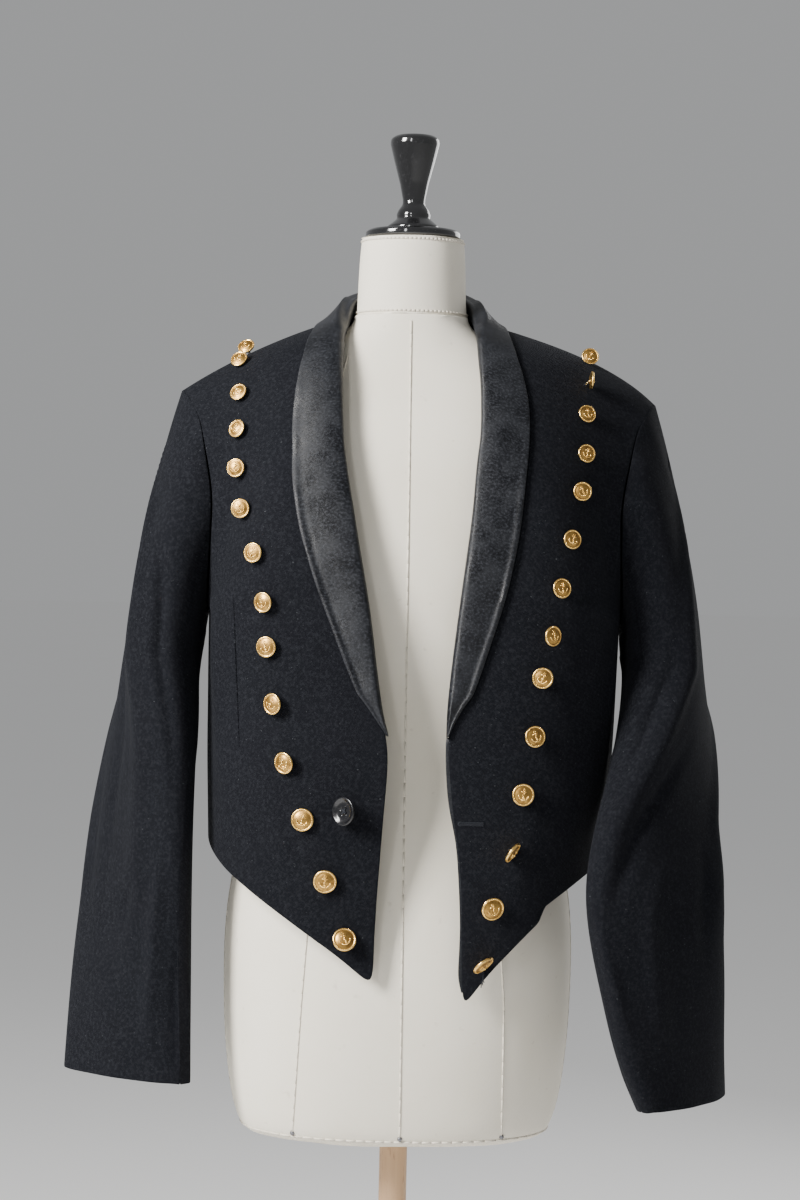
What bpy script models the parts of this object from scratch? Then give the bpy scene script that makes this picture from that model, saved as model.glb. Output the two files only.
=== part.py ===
"""Waist-length military mess jacket on a limbless dress form, life size, in metres.

The jacket hangs open. Its fronts and backs are cloth walls lofted between the front
edge and the armhole or side seam, its two-piece sleeves are walls round a set of
flattened arm sections, and the satin shawl collar rolls over the front edges.
X points to the viewer's right, the jacket's front looks along -Y, Z points up.
The origin is the middle of the stand's foot, on the floor.
"""
import bpy
import bmesh
import math
import numpy as np
from mathutils import Vector
from mathutils.bvhtree import BVHTree

# driving sizes
CLOTH = 0.0020
SATIN = 0.0015
SEAM = 0.00015
CENTRE_X = 0.0088
ARMHOLE_HALF = 0.106
ARMHOLE_FRONT = 0.072
ARMHOLE_BACK = 0.078
ARMHOLE_Z = {"right": 1.2655, "left": 1.2610}
BUTTON_R = 0.0110
UPPER_BUTTON_R = 0.0084
BLACK_BUTTON_R = 0.0135
FORM_BOTTOM = 0.660
NECK_BASE = 1.4470
POLE_R = 0.0135
BASE_R = 0.195
SHAWL_TURN = -1.0

# how finely each wall is divided
ACROSS = 11
HOLE_ROWS = 12
NECK_ROWS = (0.02083, 0.0625, 0.10417)
SKIRT = (0.545, 0.590, 0.635, 0.685, 0.760, 0.840, 0.920, 1.000)
CAP_ROWS = 6
ARM_ROWS = 8

# inner edge of each body half: v, outward distance, y, z
# v runs from the back hem (-1) up the centre back, round the neck to the
# shoulder seam (0), then down the roll line and front edge to the tip (1)
EDGE = {
    "right": (
        (-1.00, 0.0050, 0.1270, 0.9180),
        (-0.80, 0.0050, 0.1230, 0.9980),
        (-0.50, 0.0050, 0.1260, 1.1650),
        (-0.35, 0.0050, 0.1180, 1.2900),
        (-0.20, 0.0050, 0.0920, 1.4120),
        (-0.125, 0.0050, 0.0660, 1.4570),
        (-0.08, 0.0400, 0.0550, 1.4550),
        (-0.04, 0.0570, 0.0330, 1.4515),
        (0.00, 0.0668, 0.0020, 1.4470),
        (0.04, 0.0723, -0.0350, 1.4340),
        (0.08, 0.0758, -0.0520, 1.4212),
        (0.12, 0.0760, -0.0710, 1.4000),
        (0.17, 0.0755, -0.0910, 1.3733),
        (0.23, 0.0738, -0.1090, 1.3388),
        (0.28, 0.0717, -0.1200, 1.3133),
        (0.35, 0.0634, -0.1330, 1.2641),
        (0.43, 0.0545, -0.1390, 1.2163),
        (0.50, 0.0450, -0.1415, 1.1650),
        (0.58, 0.0368, -0.1420, 1.1064),
        (0.64, 0.0300, -0.1420, 1.0680),
        (0.685, 0.0228, -0.1420, 1.0367),
        (0.75, 0.0244, -0.1400, 0.9923),
        (0.83, 0.0282, -0.1360, 0.9370),
        (0.92, 0.0318, -0.1320, 0.8720),
        (0.97, 0.0316, -0.1300, 0.8400),
        (1.00, 0.0335, -0.1290, 0.8225),
    ),
    "left": (
        (-1.00, -0.0050, 0.1270, 0.9080),
        (-0.80, -0.0050, 0.1230, 0.9900),
        (-0.50, -0.0050, 0.1260, 1.1600),
        (-0.35, -0.0050, 0.1180, 1.2870),
        (-0.20, -0.0050, 0.0920, 1.4110),
        (-0.125, -0.0050, 0.0660, 1.4570),
        (-0.08, 0.0260, 0.0550, 1.4550),
        (-0.04, 0.0395, 0.0330, 1.4510),
        (0.00, 0.0500, 0.0020, 1.4460),
        (0.04, 0.0550, -0.0320, 1.4350),
        (0.08, 0.0575, -0.0570, 1.4180),
        (0.12, 0.0590, -0.0720, 1.4000),
        (0.16, 0.0609, -0.0880, 1.3791),
        (0.23, 0.0616, -0.1090, 1.3374),
        (0.29, 0.0584, -0.1230, 1.3029),
        (0.35, 0.0556, -0.1310, 1.2622),
        (0.43, 0.0500, -0.1385, 1.2121),
        (0.50, 0.0438, -0.1410, 1.1606),
        (0.58, 0.0377, -0.1420, 1.1010),
        (0.64, 0.0350, -0.1420, 1.0670),
        (0.69, 0.0345, -0.1420, 1.0324),
        (0.74, 0.0375, -0.1405, 0.9939),
        (0.81, 0.0469, -0.1370, 0.9429),
        (0.90, 0.0509, -0.1320, 0.8724),
        (0.96, 0.0499, -0.1300, 0.8300),
        (1.00, 0.0535, -0.1280, 0.8050),
    ),
}

# shape of the rows across each body half: v, handle at the inner edge
# (outward, y, z), handle at the armhole or side seam (outward, y, z)
ROWS = {
    "right": (
        (-1.00, 0.100, 0.003, 0.006, 0.000, 0.100, -0.008),
        (-0.50, 0.100, 0.004, 0.000, 0.000, 0.105, 0.000),
        (-0.25, 0.078, 0.004, -0.012, -0.035, 0.045, 0.012),
        (-0.125, 0.065, 0.006, -0.006, -0.045, 0.014, 0.026),
        (0.00, 0.050, 0.000, -0.013, -0.050, 0.000, 0.034),
        (0.10, 0.050, -0.012, -0.008, -0.050, -0.012, 0.024),
        (0.25, 0.055, -0.016, -0.022, -0.042, -0.042, 0.016),
        (0.40, 0.080, -0.009, -0.012, -0.014, -0.074, 0.006),
        (0.50, 0.100, -0.005, -0.002, 0.000, -0.118, 0.000),
        (0.75, 0.105, -0.005, 0.022, 0.000, -0.120, -0.008),
        (1.00, 0.100, -0.007, 0.073, 0.000, -0.112, -0.022),
    ),
    "left": (
        (-1.00, 0.100, 0.003, 0.006, 0.000, 0.100, -0.008),
        (-0.50, 0.105, 0.004, 0.000, 0.000, 0.105, 0.000),
        (-0.25, 0.082, 0.004, -0.012, -0.035, 0.045, 0.012),
        (-0.125, 0.070, 0.006, -0.006, -0.045, 0.014, 0.026),
        (0.00, 0.056, 0.000, -0.015, -0.045, 0.000, 0.044),
        (0.10, 0.056, -0.012, -0.008, -0.048, -0.012, 0.030),
        (0.25, 0.062, -0.016, -0.022, -0.042, -0.042, 0.016),
        (0.40, 0.085, -0.009, -0.012, -0.014, -0.074, 0.006),
        (0.50, 0.105, -0.005, -0.002, 0.000, -0.118, 0.000),
        (0.75, 0.098, -0.005, 0.024, 0.000, -0.108, -0.006),
        (1.00, 0.070, -0.006, 0.086, 0.000, -0.090, -0.009),
    ),
}

# outward distance of the armhole seam: drop below the shoulder tip, distance
ARMHOLE = (
    (0.0000, 0.2298),
    (0.0040, 0.2241),
    (0.0133, 0.2176),
    (0.0259, 0.2094),
    (0.0423, 0.2047),
    (0.0626, 0.2001),
    (0.0828, 0.1959),
    (0.1035, 0.1930),
    (0.1442, 0.1940),
    (0.2120, 0.1985),
)

# side seam below the armhole: v, outward distance, y, z
SIDE = {
    "right": (
        (0.50, 0.1985, 0.0000, 1.1595),
        (0.75, 0.1978, 0.0000, 1.0480),
        (1.00, 0.1950, 0.0000, 0.9480),
    ),
    "left": (
        (0.50, 0.1985, 0.0000, 1.1550),
        (0.75, 0.1950, 0.0000, 1.0420),
        (1.00, 0.1860, 0.0000, 0.9380),
    ),
}

# sleeve sections from the upper arm down: z, outward centre, y centre, half length,
# half thickness, turn of the long side, fall towards the outside, forearm seam,
# hindarm seam (both seams as angles round the section)
SLEEVE = {
    "right": (
        (1.120, 0.2425, 0.000, 0.0800, 0.0385, 86.0, 0.00, 118.0, 242.0),
        (1.040, 0.2500, -0.010, 0.0800, 0.0340, 68.0, 0.00, 108.0, 248.0),
        (0.960, 0.2570, -0.018, 0.0790, 0.0300, 56.5, 0.00, 92.0, 255.0),
        (0.880, 0.2620, -0.028, 0.0770, 0.0270, 47.0, 0.00, 76.0, 262.0),
        (0.800, 0.2645, -0.036, 0.0740, 0.0250, 38.0, 0.01, 71.0, 266.0),
        (0.716, 0.2655, -0.045, 0.0710, 0.0220, 29.0, 0.02, 69.0, 270.0),
    ),
    "left": (
        (1.115, 0.2412, -0.002, 0.0800, 0.0400, 86.0, 0.00, 118.0, 242.0),
        (1.050, 0.2425, -0.034, 0.0800, 0.0385, 66.0, 0.00, 108.0, 248.0),
        (0.970, 0.2325, -0.076, 0.0800, 0.0285, 45.0, 0.00, 100.0, 255.0),
        (0.900, 0.2315, -0.095, 0.0785, 0.0265, 33.0, 0.00, 94.0, 262.0),
        (0.825, 0.2405, -0.088, 0.0755, 0.0255, 37.0, 0.00, 92.0, 266.0),
        (0.760, 0.2507, -0.072, 0.0720, 0.0240, 43.0, 0.00, 92.0, 268.0),
        (0.703, 0.2648, -0.055, 0.0690, 0.0230, 52.0, 0.00, 92.0, 270.0),
    ),
}

# shawl collar: v on the neck edge, style line's place across the row on the right and
# on the left, v of the style line, height of the stand, reach of the inside leg
SHAWL = (
    (-0.125, 0.000, 0.000, -0.1520, 0.0260, 0.0000),
    (-0.104, 0.100, 0.100, -0.1480, 0.0252, 0.0000),
    (-0.062, 0.290, 0.270, -0.1120, 0.0225, 0.0000),
    (-0.030, 0.235, 0.215, -0.0580, 0.0190, 0.0000),
    (0.000, 0.190, 0.165, -0.0150, 0.0150, 0.0000),
    (0.040, 0.200, 0.165, 0.0400, 0.0070, 0.0000),
    (0.080, 0.215, 0.185, 0.0800, 0.0000, 0.0000),
    (0.125, 0.262, 0.222, 0.1250, 0.0000, 0.0090),
    (0.150, 0.281, 0.244, 0.1500, 0.0000, 0.0100),
    (0.200, 0.306, 0.256, 0.2000, 0.0000, 0.0110),
    (0.250, 0.300, 0.244, 0.2500, 0.0000, 0.0130),
    (0.300, 0.281, 0.225, 0.3000, 0.0000, 0.0150),
    (0.350, 0.244, 0.194, 0.3500, 0.0000, 0.0160),
    (0.400, 0.206, 0.169, 0.4000, 0.0000, 0.0160),
    (0.500, 0.131, 0.113, 0.5000, 0.0000, 0.0145),
    (0.600, 0.064, 0.062, 0.6000, 0.0000, 0.0100),
    (0.665, 0.024, 0.026, 0.6650, 0.0000, 0.0055),
)

# cross-section of the collar before its fall: on a lapel, along and off the panel; on
# the stand, away from the neck edge and share of the stand's height; then the fall's
# share and its lift off the panel
LAPEL = ((1.00, -0.0048), (0.45, -0.0048), (0.03, -0.0046), (-0.0034, -0.0016),
         (-0.0038, 0.0024), (-0.0008, 0.0062))
STAND = ((-0.0026, -0.0004), (-0.0028, 0.34), (-0.0030, 0.68), (-0.0024, 0.92),
         (0.0002, 1.00), (0.0032, 0.98))
FALL = ((0.16, 0.0066), (0.34, 0.0060), (0.56, 0.0051), (0.78, 0.0042), (1.00, 0.0036))
FALL_BASE = 0.0036
BESIDE = -0.0026

# buttons: x, z, stem, lean in degrees, direction of the lean (0 is to +X, 90 is up)
GOLD = {
    "right": (
        (-0.1560, 1.4089, 0.0060, 40, -84),
        (-0.1619, 1.3977, 0.0034, 21, -71),
        (-0.1598, 1.3654, 0.0030, 8, -54),
        (-0.1590, 1.3309, 0.0030, 2, -35),
        (-0.1583, 1.2943, 0.0036, 20, -22),
        (-0.1514, 1.2563, 0.0046, 32, -18),
        (-0.1392, 1.2160, 0.0030, 10, -7),
        (-0.1289, 1.1712, 0.0030, 5, 180),
        (-0.1252, 1.1299, 0.0030, 7, 0),
        (-0.1177, 1.0776, 0.0035, 12, 170),
        (-0.1064, 1.0236, 0.0040, 20, 200),
        (-0.0897, 0.9713, 0.0030, 5, 90),
        (-0.0683, 0.9152, 0.0030, 6, -80),
        (-0.0497, 0.8607, 0.0045, 26, 80),
    ),
    "left": (
        (0.1697, 1.4054, 0.0064, 48, -102),
        (0.1655, 1.3815, 0.0090, 72, 0),
        (0.1649, 1.3515, 0.0030, 15, -129),
        (0.1636, 1.3144, 0.0030, 15, -148),
        (0.1592, 1.2789, 0.0040, 27, -158),
        (0.1504, 1.2343, 0.0030, 7, -166),
        (0.1420, 1.1890, 0.0030, 6, 0),
        (0.1337, 1.1456, 0.0040, 20, 0),
        (0.1263, 1.1069, 0.0040, 18, 180),
        (0.1201, 1.0525, 0.0030, 5, 90),
        (0.1112, 0.9988, 0.0030, 6, 150),
        (0.1005, 0.9476, 0.0085, 66, -35),
        (0.0852, 0.8934, 0.0035, 14, -40),
        (0.0772, 0.8430, 0.0085, 62, -50),
    ),
}
BLACK = (-0.0503, 0.9814, 0.0088, 38, 172)
GOLD_SHAPE = ((0.0000, 0.15), (1.0000, 0.15), (0.0004, 0.91), (0.0016, 1.00),
              (0.0038, 0.70), (0.0047, 0.00))
BLACK_SHAPE = ((0.0000, 0.15), (1.0000, 0.15), (0.0003, 0.63), (0.0030, 1.00),
               (0.0040, 0.92), (0.0024, 0.67), (0.0020, 0.00))

# dress form: z, half width, front depth, back depth
TORSO = (
    (0.6600, 0.1360, 0.0860, 0.0920),
    (0.6625, 0.1455, 0.0950, 0.1010),
    (0.6750, 0.1530, 0.1030, 0.1085),
    (0.7050, 0.1600, 0.1090, 0.1140),
    (0.7550, 0.1655, 0.1150, 0.1180),
    (0.8100, 0.1675, 0.1165, 0.1180),
    (0.8700, 0.1660, 0.1140, 0.1120),
    (0.9300, 0.1560, 0.1060, 0.1000),
    (0.9900, 0.1420, 0.0980, 0.0860),
    (1.0400, 0.1400, 0.0990, 0.0860),
    (1.1000, 0.1480, 0.1060, 0.0940),
    (1.1600, 0.1590, 0.1150, 0.1020),
    (1.2200, 0.1670, 0.1180, 0.1060),
    (1.2800, 0.1700, 0.1120, 0.1060),
    (1.3300, 0.1680, 0.0980, 0.1000),
    (1.3650, 0.1560, 0.0800, 0.0880),
    (1.3900, 0.1300, 0.0650, 0.0740),
    (1.4120, 0.0940, 0.0560, 0.0620),
    (1.4290, 0.0680, 0.0520, 0.0560),
    (1.4400, 0.0570, 0.0500, 0.0530),
    (1.4467, 0.0540, 0.0490, 0.0510),
)
NECK = ((0.0000, 0.0535, 0.0485), (0.0100, 0.0525, 0.0480), (0.0350, 0.0518, 0.0480),
        (0.0650, 0.0502, 0.0470), (0.0735, 0.0490, 0.0460), (0.0750, 0.0475, 0.0446))
CAP = ((1.5223, 0.0440), (1.5240, 0.0462), (1.5285, 0.0462), (1.5310, 0.0430))
FINIAL = (
    (1.5313, 0.0255), (1.5345, 0.0258), (1.5395, 0.0195), (1.5425, 0.0160),
    (1.5460, 0.0168), (1.5505, 0.0150), (1.5560, 0.0110), (1.5600, 0.0108),
    (1.5760, 0.0140), (1.5980, 0.0200), (1.6140, 0.0240), (1.6190, 0.0236), (1.6225, 0.0190),
)
FOOT = ((0.0000, 0.985), (0.0040, 1.000), (0.0180, 1.000), (0.0245, 0.975), (0.0280, 0.930))
SOCKET = ((0.0283, 0.0370), (0.0400, 0.0340), (0.0520, 0.0220), (0.0560, 0.0180))


def track(rows, at):
    """Values of a table at one place, on a smooth curve that never overshoots its rows."""
    data = np.array(rows, dtype=float)
    x = data[:, 0]
    y = data[:, 1:]
    at = min(max(at, x[0]), x[-1])
    k = int(np.clip(np.searchsorted(x, at) - 1, 0, len(x) - 2))
    gaps = np.diff(x)[:, None]
    rise = np.diff(y, axis=0) / gaps

    def slope(i):
        if i == 0:
            return rise[0]
        if i == len(x) - 1:
            return rise[-1]
        a, b = rise[i - 1], rise[i]
        same = (a * b) > 0
        total = np.where(same, a + b, 1.0)
        return np.where(same, 2.0 * a * b / total, 0.0)

    h = x[k + 1] - x[k]
    t = (at - x[k]) / h
    m0, m1 = slope(k) * h, slope(k + 1) * h
    c0 = 2 * t ** 3 - 3 * t ** 2 + 1
    c1 = t ** 3 - 2 * t ** 2 + t
    c2 = -2 * t ** 3 + 3 * t ** 2
    c3 = t ** 3 - t ** 2
    return c0 * y[k] + c1 * m0 + c2 * y[k + 1] + c3 * m1


def unit(vector):
    """The same direction with length one."""
    length = float(np.linalg.norm(vector))
    return vector / length if length > 1e-12 else np.zeros(3)


def bezier(a, b, c, d, t):
    """Point on a cubic curve."""
    s = 1.0 - t
    return s ** 3 * a + 3 * s * s * t * b + 3 * s * t * t * c + t ** 3 * d


def armhole(side, turn):
    """Point on the armhole seam; turn 0 is the shoulder tip, 180 the armpit, 90 the front."""
    angle = math.radians(turn)
    depth = ARMHOLE_FRONT if math.sin(angle) > 0 else ARMHOLE_BACK
    drop = ARMHOLE_HALF * (1.0 - math.cos(angle))
    out = track(ARMHOLE, drop)[0]
    top = ARMHOLE_Z[side] + ARMHOLE_HALF
    return np.array([out, 0.003 - depth * math.sin(angle), top - drop])


def body(side, u, v):
    """Point on a body half in outward, y, z; u runs out from the inner edge, v down."""
    start = track(EDGE[side], v)
    shape = track(ROWS[side], v)
    if abs(v) <= 0.5:
        end = armhole(side, 360.0 * v)
    else:
        end = track(SIDE[side], abs(v)) + np.array([0.0, 0.003, 0.0])
    return bezier(start, start + shape[0:3], end + shape[3:6], end, u)


def section(side, row, angle):
    """Point on one flattened sleeve section, at an angle round it."""
    z, out, y, long, thick, turn, fall = row[0:7]
    t = math.radians(turn)
    a = math.radians(angle)
    power = 0.90
    ca = math.copysign(abs(math.cos(a)) ** power, math.cos(a)) * thick
    sa = math.copysign(abs(math.sin(a)) ** power, math.sin(a)) * long
    dx = ca * math.sin(t) - sa * math.cos(t)
    dy = -ca * math.cos(t) - sa * math.sin(t)
    return np.array([out + dx, y + dy, z + fall * dx])


def arm(side, share, down):
    """Point on the sleeve below the cap; share 0 to 1 is the top sleeve, 1 to 2 the under."""
    rows = SLEEVE[side]
    top, low = rows[0][0], rows[-1][0]
    z = top + (low - top) * down
    flipped = tuple((-r[0],) + r[1:] for r in rows)
    values = (z,) + tuple(track(flipped, -z))
    front, back = values[7], values[8]
    if share <= 1.0:
        angle = (back - 360.0) + (front - back + 360.0) * share
    else:
        angle = front + (back - front) * (share - 1.0)
    return section(side, values, angle)


def hole_turn(share):
    """Place on the armhole, in degrees, that belongs to a place round the sleeve."""
    if share <= 1.0:
        return -120.0 + 240.0 * share
    return 120.0 + 120.0 * (share - 1.0)


def leave(turn):
    """Direction in which the sleeve leaves the armhole seam."""
    a = math.radians(turn)
    out = 0.25 + 0.55 * math.sin(a) ** 2 + 0.06 * math.cos(a)
    fore = -0.25 * math.sin(a)
    return np.array([out, fore, -math.sqrt(max(0.05, 1.0 - out * out - fore * fore))])


def sleeve(side, share, s):
    """Point on the sleeve: s 0 to 1 is the cap, 1 to 2 the arm down to the cuff."""
    if s > 1.0:
        return arm(side, share, s - 1.0)
    turn = hole_turn(share)
    start = armhole(side, turn)
    end = arm(side, share, 0.0)
    below = arm(side, share, 0.04)
    reach = float(np.linalg.norm(end - start))
    rise = unit(unit(end - below) * 0.6 + unit(start - end) * 0.4)
    return bezier(start, start + leave(turn) * reach * 0.20, end + rise * reach * 0.37, end, s)


def facing_out(surface, a, b, step=0.002):
    """Unit normal of a parametric surface, by small steps."""
    da = surface(a + step, b) - surface(a - step, b)
    db = surface(a, b + step) - surface(a, b - step)
    return unit(np.cross(da, db))


def body_normal(side, u, v):
    """Outward normal of a body half."""
    span = max(min(u, 0.998), 0.002)
    if abs(abs(v) - 0.5) < 0.004:
        v = math.copysign(0.504 if abs(v) >= 0.5 else 0.496, v)
    normal = facing_out(lambda p, q: body(side, p, q), span, v)
    middle = np.array([0.04, 0.0, min(body(side, u, v)[2], 1.33)])
    if u < 0.001 and v < -0.124:
        normal = unit(normal * np.array([0.0, 1.0, 1.0]))
    return normal if np.dot(normal, body(side, u, v) - middle) > 0 else -normal


def sleeve_normal(side, share, s):
    """Outward normal of a sleeve."""
    s_in = max(min(s, 1.998), 0.004)
    around = lambda p, q: sleeve(side, p % 2.0, q)
    normal = facing_out(around, share, s_in)
    if s > 0.6:
        core = arm(side, 0.0, max(0.0, s - 1.0)) + arm(side, 1.0, max(0.0, s - 1.0))
        core = core * 0.5
    else:
        core = np.array([0.222, 0.0, 1.26])
    return normal if np.dot(normal, sleeve(side, share, s) - core) > 0 else -normal


def seam_lean(side, turn):
    """Thickness directions of body and sleeve at the armhole, mitred where they fold over."""
    wrapped = (turn + 180.0) % 360.0 - 180.0
    v = wrapped / 360.0
    share = (wrapped + 120.0) / 240.0 if abs(wrapped) <= 120.0 else 1.0 + ((turn % 360.0) - 120.0) / 120.0
    of_body = body_normal(side, 1.0, v)
    of_sleeve = sleeve_normal(side, share, 0.0)
    if np.dot(of_body, leave(wrapped)) < 0.0:
        shared = unit(of_body + of_sleeve)
        return shared, shared
    return of_body, of_sleeve


def to_world(side, point):
    """Outward, y, z to x, y, z."""
    sign = -1.0 if side == "right" else 1.0
    return Vector((CENTRE_X + sign * point[0], point[1], point[2]))


def material(name, colour, rough, metal=0.0):
    """A plain surface for one piece."""
    mat = bpy.data.materials.new(name + "_surface")
    mat.use_nodes = True
    node = mat.node_tree.nodes["Principled BSDF"]
    node.inputs["Base Color"].default_value = (colour[0], colour[1], colour[2], 1.0)
    node.inputs["Roughness"].default_value = rough
    node.inputs["Metallic"].default_value = metal
    return mat


def finish(name, bm, colour, rough, metal=0.0, smooth=True):
    """Turn a bmesh into a named piece with its faces pointing out."""
    bmesh.ops.recalc_face_normals(bm, faces=bm.faces[:])
    mesh = bpy.data.meshes.new(name)
    bm.to_mesh(mesh)
    bm.free()
    for face in mesh.polygons:
        face.use_smooth = smooth
    piece = bpy.data.objects.new(name, mesh)
    bpy.context.scene.collection.objects.link(piece)
    piece.data.materials.append(material(name, colour, rough, metal))
    return piece


def wall(name, outer, inner, colour, rough):
    """A cloth wall from an outer and an inner grid of points."""
    rows, cols = len(outer), len(outer[0])
    bm = bmesh.new()
    out = [[bm.verts.new(p) for p in row] for row in outer]
    back = [[bm.verts.new(p) for p in row] for row in inner]
    for i in range(rows - 1):
        for j in range(cols - 1):
            bm.faces.new((out[i][j], out[i][j + 1], out[i + 1][j + 1], out[i + 1][j]))
            bm.faces.new((back[i][j], back[i + 1][j], back[i + 1][j + 1], back[i][j + 1]))
    for i in range(rows - 1):
        bm.faces.new((out[i][0], out[i + 1][0], back[i + 1][0], back[i][0]))
        bm.faces.new((out[i + 1][-1], out[i][-1], back[i][-1], back[i + 1][-1]))
    for j in range(cols - 1):
        bm.faces.new((out[0][j + 1], out[0][j], back[0][j], back[0][j + 1]))
        bm.faces.new((out[-1][j], out[-1][j + 1], back[-1][j + 1], back[-1][j]))
    bmesh.ops.triangulate(bm, faces=bm.faces[:], quad_method="SHORT_EDGE")
    return finish(name, bm, colour, rough)


def draw_back(grid, where, amount):
    """Pull one edge of a grid in along the cloth, to leave the seam's gap."""
    if where == "top":
        pairs = [((0, j), (1, j)) for j in range(len(grid[0]))]
    elif where == "bottom":
        pairs = [((-1, j), (-2, j)) for j in range(len(grid[0]))]
    elif where == "first":
        pairs = [((i, 0), (i, 1)) for i in range(len(grid))]
    else:
        pairs = [((i, -1), (i, -2)) for i in range(len(grid))]
    moves = []
    for (a, b), (c, d) in pairs:
        moves.append((a, b, grid[a][b] + unit(grid[c][d] - grid[a][b]) * amount))
    for a, b, point in moves:
        grid[a][b] = point


NAVY = (0.012, 0.013, 0.018)
BLACK_SATIN = (0.020, 0.020, 0.022)


def body_rows(sign):
    """Places down a body half where its cloth is divided."""
    hole = [0.5 * i / HOLE_ROWS for i in range(HOLE_ROWS + 1)]
    return [sign * v for v in sorted(hole + list(NECK_ROWS)) + list(SKIRT)]


def body_panel(name, side, sign):
    """One front or back, from the shoulder seam to the hem."""
    vs = body_rows(sign)
    us = [i / ACROSS for i in range(ACROSS + 1)]
    outer = [[body(side, u, v) for u in us] for v in vs]
    lean = [[body_normal(side, u, v) for u in us] for v in vs]
    for i, v in enumerate(vs):
        if abs(v) < 0.4999:
            lean[i][-1] = seam_lean(side, 360.0 * v)[0]
    for i, v in enumerate(vs):
        if abs(v) in NECK_ROWS:
            outer[i][-1] = 0.5 * (outer[i - 1][-1] + outer[i + 1][-1])
            lean[i][-1] = unit(lean[i - 1][-1] + lean[i + 1][-1])
    draw_back(outer, "top", SEAM)
    draw_back(outer, "last", SEAM)
    if sign < 0:
        draw_back(outer, "first", SEAM)
    inner = [[p - n * CLOTH for p, n in zip(prow, nrow)] for prow, nrow in zip(outer, lean)]
    outer = [[to_world(side, p) for p in row] for row in outer]
    inner = [[to_world(side, p) for p in row] for row in inner]
    return wall(name, outer, inner, NAVY, 0.9)


def sleeve_panel(name, side, first, last, count):
    """One of the two pieces of a sleeve, from the armhole to the cuff."""
    ss = [i / CAP_ROWS for i in range(CAP_ROWS + 1)]
    ss = ss + [1.0 + (i + 1) / ARM_ROWS for i in range(ARM_ROWS)]
    shares = [first + (last - first) * j / count for j in range(count + 1)]
    outer = [[sleeve(side, p, s) for p in shares] for s in ss]
    lean = [[sleeve_normal(side, p, s) for p in shares] for s in ss]
    for j, p in enumerate(shares):
        turn = hole_turn(p)
        own = seam_lean(side, turn)
        lean[0][j] = own[1]
        away = leave(turn)
        clear = max(0.0, float(np.dot(own[0], away)))
        outer[0][j] = outer[0][j] + away * SEAM * 1.4 + own[0] * clear * 0.0004
    draw_back(outer, "first", SEAM)
    draw_back(outer, "last", SEAM)
    inner = [[p - n * CLOTH for p, n in zip(prow, nrow)] for prow, nrow in zip(outer, lean)]
    outer = [[to_world(side, p) for p in row] for row in outer]
    inner = [[to_world(side, p) for p in row] for row in inner]
    return wall(name, outer, inner, NAVY, 0.9)


def across_to(side, out, q):
    """Place across a row of the body where it has a given outward distance."""
    low, high = 0.0, 1.0
    if body(side, 0.0, q)[0] >= out:
        return 0.0
    for step in range(24):
        middle = 0.5 * (low + high)
        if body(side, middle, q)[0] < out:
            low = middle
        else:
            high = middle
    return 0.5 * (low + high)


def shawl_row(side, v):
    """Visible face of the collar across one row, from the inside leg to the style line."""
    share_r, share_l, low, stand, leg = track(SHAWL, v)
    share = share_r if side == "right" else share_l
    edge = body(side, 0.0, v)
    style = body(side, share, low)
    fade = np.array([min(1.0, (v - SHAWL[0][0]) / 0.060), 1.0, 1.0])

    def under(f):
        q = v + (low - v) * f
        return across_to(side, edge[0] + (style[0] - edge[0]) * f, q), q

    near_u, near_q = under(0.10)
    along = unit(body(side, near_u, near_q) - edge)
    normal = unit(body_normal(side, 0.0, v) * fade)
    level = unit(along * np.array([1.0, 1.0, 0.0]))
    upright = np.array([0.0, 0.0, 1.0])
    mix = min(1.0, stand / 0.015)
    mix = mix * mix * (3.0 - 2.0 * mix)
    small = min(1.0, leg / 0.010) if v > 0.4 else 1.0
    inside = min(1.0, leg / 0.006)
    points = []
    for k in range(6):
        la, lb = LAPEL[k]
        if k < 3:
            la = inside * la * leg + (1.0 - inside) * BESIDE
            lb = inside * lb + (1.0 - inside) * (-0.0052 + 0.0014 * k)
        else:
            la = la * (0.5 + 0.5 * small)
            lb = lb if lb < 0.0 else lb * (0.55 + 0.45 * small)
        sa, sb = STAND[k]
        sb = sb * stand if sb > 0 else sb
        flat = along * la + normal * lb
        tall = level * sa + upright * sb
        points.append(edge + flat * (1.0 - mix) + tall * mix)
    for f, off in FALL:
        u, q = under(f)
        lift = FALL_BASE + (off - FALL_BASE) * (0.35 + 0.65 * small)
        way = unit(body_normal(side, u, q) * fade)
        rise = upright * mix * stand * (1.0 - f) ** 1.6
        points.append(body(side, u, q) + way * lift + rise + level * 0.0040 * mix * (1.0 - f))
    return points


def strip_wall(name, side, rows, colour, rough, thick, turn, flat_start=False):
    """A satin wall from rows of its visible face; the hidden face lies on its other side."""
    inner = []
    count = len(rows)
    for i in range(count):
        line = []
        for j in range(len(rows[0])):
            up = rows[max(i - 1, 0)][j]
            down = rows[min(i + 1, count - 1)][j]
            left = rows[i][max(j - 1, 0)]
            right = rows[i][min(j + 1, len(rows[0]) - 1)]
            normal = unit(np.cross(unit(right - left), unit(down - up))) * turn
            if i == 0 and flat_start:
                normal = unit(np.array([0.0, normal[1], normal[2]]))
            line.append(rows[i][j] - normal * thick)
        inner.append(line)
    outer = [[to_world(side, p) for p in row] for row in rows]
    inner = [[to_world(side, p) for p in row] for row in inner]
    return wall(name, outer, inner, colour, rough)


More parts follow.
